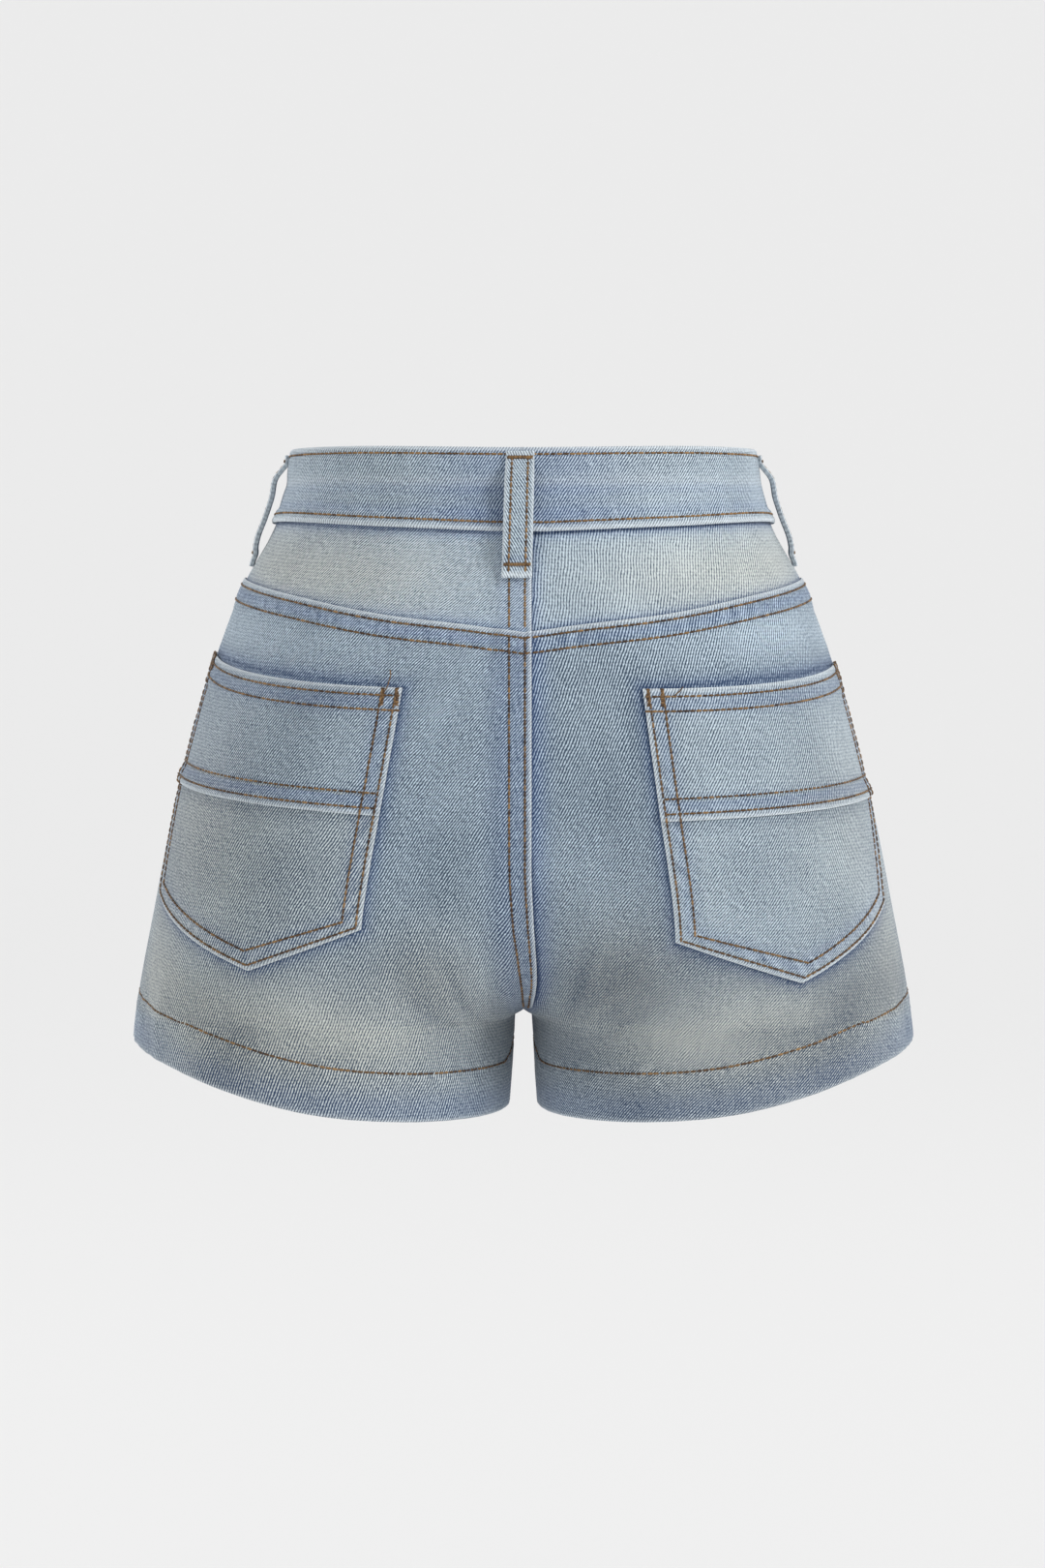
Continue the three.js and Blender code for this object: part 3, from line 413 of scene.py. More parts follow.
def back_wash(side, a, z):
    """How the wash and wear left the cloth: pale, rubbed white, unfaded indigo, cream, and painted shade
    and painted shadow lines beside seams and laps.
    """
    seam = line_at(YOKE_SEAM, "back", a, z)
    d = seam - z
    hem = line_at(HEM, "back", a, z)
    up = z - hem
    round_pocket = outline_gap(side, a, z)
    # deeper indigo round the pocket, beside the seat seam and the lap, above the hem and between the yoke
    # rows: partly unfaded indigo, partly painted shade
    blue = 0.62 * from_edge(round_pocket, 4.6) * (round_pocket > -6)
    edge = a + lap_over(z) if side > 0 else a - lap_over(z)
    if side > 0:
        blue = np.maximum(blue, 0.5 * from_edge(a - 9, 9) * (z > -300))
        rub = from_edge(edge, 1.5, power=1.5)
    else:
        blue = np.maximum(blue, 0.9 * from_edge(edge, 8) * (z > -300))
        rub = np.zeros_like(a + z)
    rub = np.maximum(rub, from_edge(d, 1.8, power=1.5))
    low = z < NEAR_HEM
    rub = np.maximum(rub, 0.55 * from_edge(up, 1.6) * low)
    blue = np.maximum(blue, 0.5 * swell(up, 7, 9) * low)
    blue = np.maximum(blue, 0.6 * swell(d, 6.7, 3.4))
    ribs = 1.5 * swell(d, 6.5, 4.6) * wobble(a, 11 + side, 6)
    ribs = ribs + 1.6 * swell(up, HEM_HIGH, 5) * low * wobble(a + 0.3 * z, 31 + side, 6)
    fade = (0.32 if side > 0 else 0.29) + spots(BACK_FADE[side], a, z) + 0.10 * ribs
    fade = fade + 0.16 * (blot(a, z, 34, 5 + side) - 0.5)
    fade = fade + 0.16 * mounds(CREASES, "back", side, a, z) + 0.06 * mounds(FOLDS, "back", side, a, z)
    # painted shadow: a dark line along the pocket's edge, and wider painted shade round it
    fade = fade - 0.5 * swell(round_pocket, 0.2, 1.3) - 0.10 * swell(round_pocket, 3, 5)
    fade = fade - 0.09 * ease((-236 - z) / 50) + spots([(130, -288, 62, 20, 0.13)], a, z)
    if side < 0:
        # painted shadow: a dark line beside the edge where the left panel laps over
        fade = fade - 0.5 * swell(edge, 0, 1.3) * ease((z - CROTCH - 4) / 8)
    else:
        middle = (seat_rows(z)[0] + seat_rows(z)[1]) / 2
        fade = fade + 0.22 * wobble(z + 0.4 * a, 23, 5) * swell(a, middle, 3.8)
    cream = spots([(150, -292, 130, 44, 1.0), (220, -240, 40, 60, 0.6), (50, -262, 30, 30, 0.5)], a, z)
    calm = 0.7 * ease((-236 - z) / 40) * ease((up - 24) / 8) + (0.25 if side < 0 else 0.0)
    by_side = 0.6 * ease((60 - (length(z, "back") - a)) / 60) * ease((up - 12) / 30)
    calm = np.clip(np.maximum(calm, by_side), 0, 1)
    return {"fade": fade, "rub": rub, "blue": blue, "cream": cream, "calm": calm}


def put_vertices(obj, points):
    obj.data.vertices.foreach_set("co", np.ascontiguousarray(points * 0.001, dtype=np.float32).ravel())
    obj.data.update()


def grid_order(obj, columns, rows):
    """Row and column of each vertex of a fresh grid primitive."""
    co = np.empty(len(obj.data.vertices) * 3, np.float32)
    obj.data.vertices.foreach_get("co", co)
    co = co.reshape(-1, 3)
    c = np.rint((co[:, 0] + 0.5) * (columns - 1)).astype(int)
    r = np.rint((0.5 - co[:, 1]) * (rows - 1)).astype(int)
    return r, c


def turn_outward(obj, out):
    """Flips the faces if they point into the garment."""
    normals = np.empty(len(obj.data.vertices) * 3, np.float32)
    obj.data.vertices.foreach_get("normal", normals)
    if (normals.reshape(-1, 3) * out).sum() < 0:
        bpy.ops.object.mode_set(mode="EDIT")
        bpy.ops.mesh.select_all(action="SELECT")
        bpy.ops.mesh.flip_normals()
        bpy.ops.object.mode_set(mode="OBJECT")


def recalculate_outside():
    """Points all faces of the active piece outwards."""
    bpy.ops.object.mode_set(mode="EDIT")
    bpy.ops.mesh.select_all(action="SELECT")
    bpy.ops.mesh.normals_make_consistent(inside=False)
    bpy.ops.object.mode_set(mode="OBJECT")


def hand_over(piece, node, slot, *faces):
    """Gives a finished piece its materials and its body, and hides the imported part named node; slot is
    not used.
    """
    for face in faces:
        piece.data.materials.append(face)
    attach(piece, "root")
    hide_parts(node)


def cloth(name, points, out, uv, wash, wall, thick=None):
    """A cloth piece: a grid laid on its form, given its thickness inwards."""
    rows, columns = points.shape[:2]
    bpy.ops.mesh.primitive_grid_add(x_subdivisions=columns - 1, y_subdivisions=rows - 1, size=1)
    obj = bpy.context.object
    obj.name = obj.data.name = name
    r, c = grid_order(obj, columns, rows)
    put_vertices(obj, points[r, c])
    turn_outward(obj, out[r, c])
    mesh = obj.data
    for key, values in wash.items():
        layer = mesh.attributes.new(key, "FLOAT", "POINT")
        layer.data.foreach_set("value", values[r, c].astype(np.float32))
    corner = np.empty(len(mesh.loops), np.int32)
    mesh.loops.foreach_get("vertex_index", corner)
    layer = mesh.uv_layers[0] if mesh.uv_layers else mesh.uv_layers.new()
    layer.name = "cloth"
    layer.data.foreach_set("uv", uv[r, c][corner].astype(np.float32).ravel())
    solid = obj.modifiers.new("wall", "SOLIDIFY")
    solid.thickness = (wall if thick is None else thick.max()) * 0.001
    solid.offset = -1
    solid.use_even_offset = False
    solid.material_offset = 1
    if thick is not None:
        group = obj.vertex_groups.new(name="wall")
        weight = (thick / thick.max())[r, c]
        for level in np.unique(np.round(weight, 2)):
            same = np.where(np.abs(weight - level) < 0.006)[0]
            group.add([int(i) for i in same], float(level), "REPLACE")
        solid.vertex_group = "wall"
    bpy.ops.object.modifier_apply(modifier="wall")
    bpy.ops.object.shade_smooth_by_angle(angle=math.radians(50))
    obj.select_set(False)
    return obj


def socket(group, name, kind, way="INPUT", value=None):
    s = group.interface.new_socket(name=name, in_out=way, socket_type="NodeSocket" + kind)
    if value is not None:
        s.default_value = value
    return s


def build_twill():
    """Twill weave: pale warp floats climb over indigo, thinned by wash, rubbing and slubs, and darkened by
    painted shade and painted shadow lines.
    """
    group = bpy.data.node_groups.new("Twill denim", "ShaderNodeTree")
    socket(group, "Cloth", "Vector")
    socket(group, "Across", "Vector", value=(-0.66, 0.42, 0))
    socket(group, "Along", "Vector", value=(0.3, 0.5, 0))
    for name in ("Fade", "Rub", "Blue", "Cream", "Calm"):
        socket(group, name, "Float", value=0.0)
    socket(group, "Color", "Color", "OUTPUT")
    socket(group, "Roughness", "Float", "OUTPUT")
    socket(group, "Height", "Float", "OUTPUT")
    n, link = group.nodes, group.links.new
    enter, leave = n.new("NodeGroupInput"), n.new("NodeGroupOutput")

    def math_node(kind, a, b=None, clamp=False):
        m = n.new("ShaderNodeMath")
        m.operation = kind
        m.use_clamp = clamp
        for i, v in enumerate((a, b)):
            if v is None:
                continue
            if isinstance(v, (int, float)):
                m.inputs[i].default_value = v
            else:
                link(v, m.inputs[i])
        return m.outputs[0]

    def dot(a, b):
        m = n.new("ShaderNodeVectorMath")
        m.operation = "DOT_PRODUCT"
        link(a, m.inputs[0])
        link(b, m.inputs[1])
        return m.outputs["Value"]

    def noise(scale, stretch=(1, 1, 1), detail=2.0):
        m = n.new("ShaderNodeMapping")
        m.inputs["Scale"].default_value = stretch
        link(enter.outputs["Cloth"], m.inputs["Vector"])
        t = n.new("ShaderNodeTexNoise")
        t.inputs["Scale"].default_value = scale
        t.inputs["Detail"].default_value = detail
        link(m.outputs[0], t.inputs["Vector"])
        return t.outputs["Fac"]

    def blend(fac, a, b):
        m = n.new("ShaderNodeMix")
        m.data_type = "RGBA"
        link(fac, m.inputs["Factor"])
        for i, v in ((6, a), (7, b)):
            if isinstance(v, tuple):
                m.inputs[i].default_value = v + (1,)
            else:
                link(v, m.inputs[i])
        return m.outputs[2]

    drift = math_node("MULTIPLY", math_node("SUBTRACT", noise(0.05, detail=2.0), 0.5), 2.0)
    ripple = math_node("MULTIPLY", math_node("SUBTRACT", noise(0.9), 0.5), 0.14)
    across = math_node("ADD", dot(enter.outputs["Cloth"], enter.outputs["Across"]), drift)
    across = math_node("ADD", across, ripple)
    line = math_node("SINE", math_node("MULTIPLY", across, 2 * math.pi))
    step = math_node("MULTIPLY", math_node("FLOOR", across), 0.41)
    float_run = math_node("ADD", dot(enter.outputs["Cloth"], enter.outputs["Along"]), step)
    dash = math_node("SINE", math_node("MULTIPLY", float_run, 2 * math.pi))
    yarn = math_node("ADD", math_node("MULTIPLY", line, 0.5), math_node("MULTIPLY", dash, 0.13))
    twill_frame = n.new("ShaderNodeCombineXYZ")
    link(math_node("MULTIPLY", across, 2.6), twill_frame.inputs["X"])
    link(dot(enter.outputs["Cloth"], enter.outputs["Along"]), twill_frame.inputs["Y"])
    dashes = n.new("ShaderNodeTexNoise")
    dashes.inputs["Scale"].default_value = 0.95
    dashes.inputs["Detail"].default_value = 2.5
    link(twill_frame.outputs[0], dashes.inputs["Vector"])
    grain = math_node("SUBTRACT", dashes.outputs["Fac"], 0.5)
    fleck = math_node("SUBTRACT", noise(0.62, (1, 0.8, 1), 2.0), 0.5)
    slub = math_node("SUBTRACT", noise(0.85, (1, 0.07, 1), 2.0), 0.5)
    cloud = math_node("SUBTRACT", noise(0.035, (1, 0.8, 1), 4.0), 0.5)
    calm = math_node("SUBTRACT", 1.0, math_node("MULTIPLY", enter.outputs["Calm"], 0.48))
    weave = math_node("ADD", math_node("MULTIPLY", yarn, 1.12), math_node("MULTIPLY", grain, 1.9))
    weave = math_node("MULTIPLY", math_node("ADD", weave, math_node("MULTIPLY", fleck, 0.12)), calm)
    # the first level input carries the wash and also painted shadow lines beside lapped edges
    level = math_node("ADD", enter.outputs["Fade"], math_node("MULTIPLY", slub, 0.30))
    level = math_node("ADD", level, math_node("MULTIPLY", cloud, 0.28))
    # this input darkens and blues the cloth: partly unfaded indigo, partly painted shade beside seams, laps
    # and loops
    level = math_node("SUBTRACT", level, math_node("MULTIPLY", enter.outputs["Blue"], 0.16))
    level = math_node("MULTIPLY", math_node("ADD", level, 0.10), 0.80)
    pale = math_node("ADD", level, weave, clamp=True)
    indigo = blend(enter.outputs["Blue"], (0.036, 0.060, 0.098), (0.030, 0.060, 0.145))
    washed = blend(enter.outputs["Blue"], (0.612, 0.732, 0.828), (0.520, 0.650, 0.835))
    cream = math_node("MULTIPLY", enter.outputs["Cream"], 1.0, clamp=True)
    sunned = blend(cream, washed, (0.690, 0.715, 0.665))
    colour = blend(pale, indigo, sunned)
    worn = math_node("MULTIPLY", enter.outputs["Rub"], math_node(
        "ADD", 0.62, math_node("MULTIPLY", math_node("ADD", yarn, grain), 0.45)), clamp=True)
    colour = blend(worn, colour, (0.720, 0.775, 0.810))
    link(colour, leave.inputs["Color"])
    link(math_node("SUBTRACT", 0.93, math_node("MULTIPLY", pale, 0.10)), leave.inputs["Roughness"])
    high = math_node("ADD", math_node("MULTIPLY", yarn, 0.5), math_node("MULTIPLY", grain, 0.5))
    link(high, leave.inputs["Height"])
    return group


twill = build_twill()
# millimetres from one twill line to the next, and along a float
TWILL_PITCH, FLOAT_LONG = 1.28, 1.9


def twill_face(name, lean):
    """A material on the cloth's own map, whose twill lines climb at lean degrees."""
    mat = bpy.data.materials.new(name)
    mat.use_nodes = True
    n, link = mat.node_tree.nodes, mat.node_tree.links.new
    shader = n["Principled BSDF"]
    weave = n.new("ShaderNodeGroup")
    weave.node_tree = twill
    where = n.new("ShaderNodeUVMap")
    where.uv_map = "cloth"
    link(where.outputs[0], weave.inputs["Cloth"])
    r = math.radians(lean)
    weave.inputs["Across"].default_value = (-math.sin(r) / TWILL_PITCH, math.cos(r) / TWILL_PITCH, 0)
    weave.inputs["Along"].default_value = (math.cos(r) / FLOAT_LONG, math.sin(r) / FLOAT_LONG, 0)
    link(weave.outputs["Color"], shader.inputs["Base Color"])
    link(weave.outputs["Roughness"], shader.inputs["Roughness"])
    return mat, weave, shader


def denim(name, lean):
    """The outer face: the wash, with its painted shade and painted shadow lines, is read from the piece's
    own attributes, and the weave stands up.
    """
    mat, weave, shader = twill_face(name, lean)
    n, link = mat.node_tree.nodes, mat.node_tree.links.new
    shader.inputs["Sheen Weight"].default_value = 0.12
    shader.inputs["Sheen Roughness"].default_value = 0.5
    shader.inputs["Specular IOR Level"].default_value = 0.25
    for key in ("fade", "rub", "blue", "cream", "calm"):
        a = n.new("ShaderNodeAttribute")
        a.attribute_name = key
        link(a.outputs["Fac"], weave.inputs[key.capitalize()])
    relief = n.new("ShaderNodeBump")
    relief.inputs["Strength"].default_value = 0.5
    relief.inputs["Distance"].default_value = 0.00035
    link(weave.outputs["Height"], relief.inputs["Height"])
    link(relief.outputs[0], shader.inputs["Normal"])
    return mat


def wrong_side(name, lean):
    """The back of the cloth, where the undyed weft shows."""
    mat, weave, _ = twill_face(name, lean)
    weave.inputs["Fade"].default_value = 0.72
    weave.inputs["Calm"].default_value = 0.35
    return mat


denim_panel = denim("Denim panel", 57)
denim_inside = wrong_side("Denim inside", 122)


def cloth_uv(side, branch, a, z, grain=0.215):
    """Where a spot lies on the flat cloth, measured from the side seam, with the grain's lean."""
    right = side * RISE[branch][0]
    return np.stack([right * (length(z, branch) - a + grain * z) + 37.0 * side, z + 0 * a], -1)


def stations(stops):
    """Grid lines from (start, end, step) stretches."""
    runs = [np.linspace(p, q, max(int(round((q - p) / s)), 1) + 1)[:-1] for p, q, s in stops]
    return np.append(np.hstack(runs), stops[-1][1])


# a panel's columns, numbered as in back_column, and its rows as shares of the way down
back_c = stations([(0, 0.25, 0.08), (0.25, 4, 0.20), (4, 9, 0.17), (9, 17, 0.105), (17, 19, 0.15)])
panel_upper = np.hstack([np.linspace(0, 0.016, 6)[:-1],
                         stations([(0.016, 0.085, 0.0055), (0.085, 1, 0.0098)])])
panel_lower = stations([(0, 0.94, 0.032), (0.94, 0.985, 0.012), (0.985, 1.0, 0.005)])
# millimetres from one stitch to the next, and the stitches of the mesh being sewn
STITCH = 3.2
stitches = []


def stitch_row(p, out, gauge=STITCH, long=None, thick=1.0):
    """Stitches end to end along a line of points. long is a stitch's share of its stretch of the
    line, and without it each stitch keeps its plain length."""
    run = np.hstack([0, np.cumsum(np.linalg.norm(np.diff(p, axis=0), axis=1))])
    count = max(int(run[-1] / gauge), 1)
    mid = (np.arange(count) + 0.5) * run[-1] / count
    at = lambda s: np.stack([np.interp(s, run, p[:, k]) for k in range(3)], 1)
    up = np.stack([np.interp(mid, run, out[:, k]) for k in range(3)], 1)
    ahead = at(mid + 0.4) - at(mid - 0.4)
    size = 1.0 if long is None else long * run[-1] / count / STITCH
    stitches.append((at(mid), ahead, up, np.full(count, size), np.full(count, thick)))


def sew(side, branch, lift, a, z, above=0.10):
    """A row of stitches on a piece, whose own lift is given as a function."""
    stitch_row(*place(side, branch, a, z, lift(side, a, z) + above), long=1.0)


def hem_row(side, branch, lift, count):
    """The single row that holds the turned hem."""
    share = np.linspace(0.004, 0.997, count)
    level = np.full_like(share, -315.0)
    for _ in range(6):
        run = share * length(level, branch)
        level = flow(*HEM, share if branch == "back" else 2 - share) + hem_rise(branch, run, level)
    sew(side, branch, lift, share * length(level, branch), level, 0.05)


def tack(side, branch, a, z, da, dz, lift, count, wide):
    """A bar tack: close short stitches laid side by side along a short line."""
    s = np.linspace(-0.5, 0.5, count)
    pa, pz = a + s * da, z + s * dz
    p, out = place(side, branch, pa, pz, lift + np.zeros(count))
    along = np.gradient(p, axis=0)
    across = np.cross(out, along)
    rng = np.random.default_rng(int(abs(a * 7 + z)))
    wide_of, long_of = (np.linalg.norm(v, axis=1)[:, None] for v in (across, along))
    across += 0.25 * wide_of * rng.normal(size=(count, 1)) * along / long_of
    stitches.append((p, across, out, np.full(count, wide / 3.0), np.full(count, 0.8)))


def thread_material():
    mat = bpy.data.materials.new("Sewing thread")
    mat.use_nodes = True
    n, link = mat.node_tree.nodes, mat.node_tree.links.new
    shader = n["Principled BSDF"]
    tint = n.new("ShaderNodeAttribute")
    tint.attribute_name = "tint"
    where = n.new("ShaderNodeTexCoord")
    fibre = n.new("ShaderNodeTexNoise")
    fibre.inputs["Scale"].default_value = 2600
    fibre.inputs["Detail"].default_value = 2
    link(where.outputs["Object"], fibre.inputs["Vector"])
    total = n.new("ShaderNodeMath")
    total.operation = "ADD"
    link(tint.outputs["Fac"], total.inputs[0])
    link(fibre.outputs["Fac"], total.inputs[1])
    ramp = n.new("ShaderNodeValToRGB")
    ramp.color_ramp.elements[0].position = 0.42
    ramp.color_ramp.elements[0].color = (0.034, 0.016, 0.009, 1)
    ramp.color_ramp.elements[1].position = 1.25 / 1.3
    ramp.color_ramp.elements[1].color = (0.300, 0.175, 0.070, 1)
    middle = ramp.color_ramp.elements.new(0.7)
    middle.color = (0.135, 0.072, 0.026, 1)
    link(total.outputs[0], ramp.inputs["Fac"])
    link(ramp.outputs["Color"], shader.inputs["Base Color"])
    shader.inputs["Roughness"].default_value = 0.62
    relief = n.new("ShaderNodeBump")
    relief.inputs["Strength"].default_value = 0.3
    relief.inputs["Distance"].default_value = 0.0002
    link(fibre.outputs["Fac"], relief.inputs["Height"])
    link(relief.outputs[0], shader.inputs["Normal"])
    return mat


thread = thread_material()
# half of a stitch's length, and the thread's half width and height
HALF_STITCH, THREAD_WIDE, THREAD_HIGH = 1.72, 0.62, 0.54


def make_thread(name, dark=0.0):
    """One mesh of all stitches sewn so far: a single arched stitch, copied along the rows."""
    bpy.ops.mesh.primitive_uv_sphere_add(segments=6, ring_count=6, radius=1)
    obj = bpy.context.object
    obj.name = obj.data.name = name
    co = np.empty(len(obj.data.vertices) * 3, np.float32)
    obj.data.vertices.foreach_get("co", co)
    co = co.reshape(-1, 3)
    x = co[:, 2]
    stitch = np.stack([np.sign(x) * np.abs(x) ** 0.8 * HALF_STITCH, co[:, 0] * THREAD_WIDE,
                       co[:, 1] * THREAD_HIGH + 0.18 - 0.70 * x ** 4], 1)
    faces = [list(f.vertices) for f in obj.data.polygons]
    mid, ahead, up, long, thick = (np.concatenate([s[k] for s in stitches]) for k in range(5))
    ahead = ahead / np.linalg.norm(ahead, axis=1)[:, None]
    beside = np.cross(up, ahead)
    beside /= np.linalg.norm(beside, axis=1)[:, None]
    up = np.cross(ahead, beside)
    ahead, beside, up = ahead * long[:, None], beside * thick[:, None], up * thick[:, None]
    v = (mid[:, None] + stitch[None, :, :1] * ahead[:, None] + stitch[None, :, 1:2] * beside[:, None]
         + stitch[None, :, 2:] * up[:, None])
    count = len(mid)
    old = obj.data
    mesh = bpy.data.meshes.new(name)
    size = len(co)
    mesh.from_pydata((v.reshape(-1, 3) * 0.001).tolist(), [],
                     [[i + k * size for i in f] for k in range(count) for f in faces])
    obj.data = mesh
    bpy.data.meshes.remove(old)
    rng = np.random.default_rng(count)
    tint = np.repeat(0.27 - dark + 0.13 * rng.normal(size=count), size)
    mesh.attributes.new("tint", "FLOAT", "POINT").data.foreach_set("value", tint.astype(np.float32))
    mesh.polygons.foreach_set("use_smooth", np.ones(len(mesh.polygons), bool))
    recalculate_outside()
    obj.data.materials.append(thread)
    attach(obj, "root")
    obj.select_set(False)
    stitches.clear()


for side, name in ((1, "left"), (-1, "right")):
    column = lambda z, s=side: back_column(s, back_c, z)
    top = settle("back", column, YOKE_SEAM)
    hem = settle("back", column, HEM)
    centre = 1 - ease(back_c / 12)
    middle = CROTCH * centre + (1 - centre) * (top + (hem - top) * 0.80)
    middle[back_c <= 4] = CROTCH
    crowd = 1 + 0.9 * (1 - ease(back_c / 9))
    a, z = grid_of(column, top, middle, hem, panel_upper, panel_lower, crowd)
    points, out = place(side, "back", a, z, back_lift(side, a, z))
    hem_line = line_at(HEM, "back", a, z) + hem_rise("back", a, z)
    thick = np.where((z < hem_line) & (z < HEM_FOLD), HEM_WALL, WALL)
    wash = back_wash(side, a, z)
    panel = cloth("Back_panel_" + name, points, out, cloth_uv(side, "back", a, z), wash, WALL, thick)
    hand_over(panel, "back_" + name, "denim", denim_panel, denim_inside)
    # twin rows below the yoke seam, one row on the hem, twin rows down the seat on the folded side
    run = np.linspace(-3.4 if side > 0 else 4.4, 205, 500)
    for below in YOKE_ROWS:
        level = np.full_like(run, -80.0)
        for _ in range(5):
            level = line_at(YOKE_SEAM, "back", run, level) - below * np.sqrt(1 + 0.17 ** 2)
        keep = run < length(level, "back") - 0.5
        sew(side, "back", back_lift, run[keep], level[keep])
    hem_row(side, "back", back_lift, 700)
    if side > 0:
        level = np.linspace(-92.5, CROTCH + 5, 400)
        for run in seat_rows(level):
            sew(side, "back", back_lift, run, level)
    make_thread("Thread_back_" + name, 0.13)


# Yokes.
# A wedge of the same denim on each side, above each back panel. Its lower edge runs under the
# panel and its upper edge is caught inside the waistband. Wear has bleached it most in the middle.
BAND_TOP = ([0, 0.6, 0.9, 1.2, 1.6, 2], [1, 0.8, -1.5, -5, -11, -14])
BAND_BOTTOM = ([0, 0.4, 0.8, 1.1, 1.6, 2], [-41, -38.8, -38, -41.5, -50, -54])
YOKE_SEAT_ROWS = (-0.7, 7.2)


def even_rows(*stops):
    """Heights of a grid from (upper line, lower line, steps) bands."""
    out = [stops[0][0][None]]
    for upper, lower, steps in stops:
        s = (np.arange(1, steps + 1) / steps)[:, None]
        out.append(upper[None] + (lower - upper)[None] * s)
    return np.vstack(out)


def yoke_lift(side, a, z):
    lift = np.minimum(centre_rise(side, a, z), LAP)
    low = line_at(BAND_BOTTOM, "back", a, z)
    seam = line_at(YOKE_SEAM, "back", a, z)
    lift = lift + 0.10 * wobble(a, 51 + side, 8) * swell(low - z, 4, 4)
    lift = lift + 0.12 * wobble(a, 57 + side, 7) * swell(z - seam, 3, 3.5)
    if side > 0:
        lift = lift + folded_edge(a + 4) + stitch_groove(a, YOKE_SEAT_ROWS)
        lift = lift + 0.13 * wobble(z, 59, 7) * swell(a, 3.4, 3.6)
    return lift


def yoke_wash(side, a, z):
    low = line_at(BAND_BOTTOM, "back", a, z)
    seam = line_at(YOKE_SEAM, "back", a, z)
    under, over = low - z, z - seam
    # deeper indigo under the waistband's edge, above the seam and beside the centre: partly unfaded indigo,
    # partly painted shade
    blue = np.maximum(0.9 * from_edge(under, 3.6), 0.7 * from_edge(over, 3.4))
    if side > 0:
        rub = from_edge(a + 4, 1.5, power=1.5)
        blue = np.maximum(blue, 0.4 * from_edge(a - 8.5, 5))
    else:
        rub = np.zeros_like(a + z)
        blue = np.maximum(blue, 0.8 * from_edge(a - 4, 5))
    fade = 0.58 + 0.14 * (blot(a, z, 26, 71 + side) - 0.5)
    fade = fade + spots([(90, -62, 60, 16, 0.10), (178, -55, 30, 22, -0.08)], a, z)
    cream = spots([(95, -62, 70, 24, 0.75), (165, -56, 46, 24, 0.55)], a, z)
    # painted shadow: dark lines under the waistband's edge and above the back panel's folded edge
    fade = fade - 0.55 * swell(under, 0, 1.1) - 0.4 * swell(over, 0, 1.1)
    if side < 0:
        # painted shadow: a dark line beside the left yoke's lapped edge
        fade = fade - 0.5 * swell(a, 4.2, 1.2)
    base, more = (0.0, 0.8) if side > 0 else (0.6, 0.4)
    calm = base + more * ease((60 - (length(z, "back") - a)) / 60)
    return {"fade": fade, "rub": rub, "blue": blue, "cream": cream, "calm": calm}


yoke_c = stations([(0, 0.25, 0.08), (0.25, 4, 0.25), (4, 9, 0.2), (9, 17, 0.13), (17, 19, 0.2)])
for side, name in ((1, "left"), (-1, "right")):
    column = lambda z, s=side: back_column(s, yoke_c, z)
    top = settle("back", column, BAND_BOTTOM, 4.2)
    seam = settle("back", column, YOKE_SEAM)
    z = even_rows((top, top - 6, 4), (top - 6, seam + 6, 22), (seam + 6, seam - 1, 7),
                  (seam - 1, seam - 8.2, 4))
    a = column(z)
    points, out = place(side, "back", a, z, yoke_lift(side, a, z))
    wash = yoke_wash(side, a, z)
    piece = cloth("Yoke_" + name, points, out, cloth_uv(side, "back", a, z, 0.14), wash, WALL)
    hand_over(piece, "yoke_" + name, "denim_faded", denim_panel, denim_inside)
    if side > 0:
        level = np.linspace(-45.5, -88, 90)
        for row in YOKE_SEAT_ROWS:
            sew(side, "back", yoke_lift, np.full_like(level, row), level)
        make_thread("Thread_yoke_left")


# Pockets.
# A five-sided patch on each back panel, made of an upper and a lower part joined by a lap. Its
# top is a folded hem and its sides are turned under, with two rows of stitches all round.
LAP_AT = 6
# distances of the needle rows from the pocket's sides, its top and its lap
RIM_ROWS, HEAD_ROWS, LAP_ROWS = (2.8, 9.8), (4.0, 11.2), (3.6, 11.0)


def pocket_lines(side, u):
    """Heights of the pocket's top, its middle and its pointed foot, at a share across it."""
    spec = POCKETS[side]
    (it, im, il), (ot, om, ol) = spec["inner"], spec["outer"]
    share, tip_z = spec["tip"]
    top = it[1] + (ot[1] - it[1]) * u - spec["sag"] * 4 * u * (1 - u)
    mid = im[1] + (om[1] - im[1]) * u
    low = np.where(u <= share, il[1] + (tip_z - il[1]) * u / share,
                   tip_z + (ol[1] - tip_z) * (u - share) / (1 - share))
    return top, mid, low


def pocket_grid(side, first, last, count, wide):
    """Spots inside the pocket: share across, and row number from 3 at its top to 10 at its tip."""
    u = np.linspace(0, 1, wide)
    rows = np.linspace(first, last, count)[:, None]
    top, mid, low = pocket_lines(side, u)
    z = np.where(rows <= 6, top + (mid - top) * (rows - 3) / 3, mid + (low - mid) * (rows - 6) / 4)
    a = pocket_edge(side, "inner", z) * (1 - u) + pocket_edge(side, "outer", z) * u
    return a, z


def pocket_depths(side, a, z):
    """Distances inwards from the pocket's sides and bottom, its top, and its lap line."""
    inner, outer = pocket_edge(side, "inner", z), pocket_edge(side, "outer", z)
    top, mid, low = pocket_lines(side, np.clip((a - inner) / (outer - inner), 0, 1))
    lap = top + (mid - top) * (LAP_AT - 3) / 3
    return np.minimum(np.minimum(a - inner, outer - a), (z - low) * 0.955), top - z, z - lap


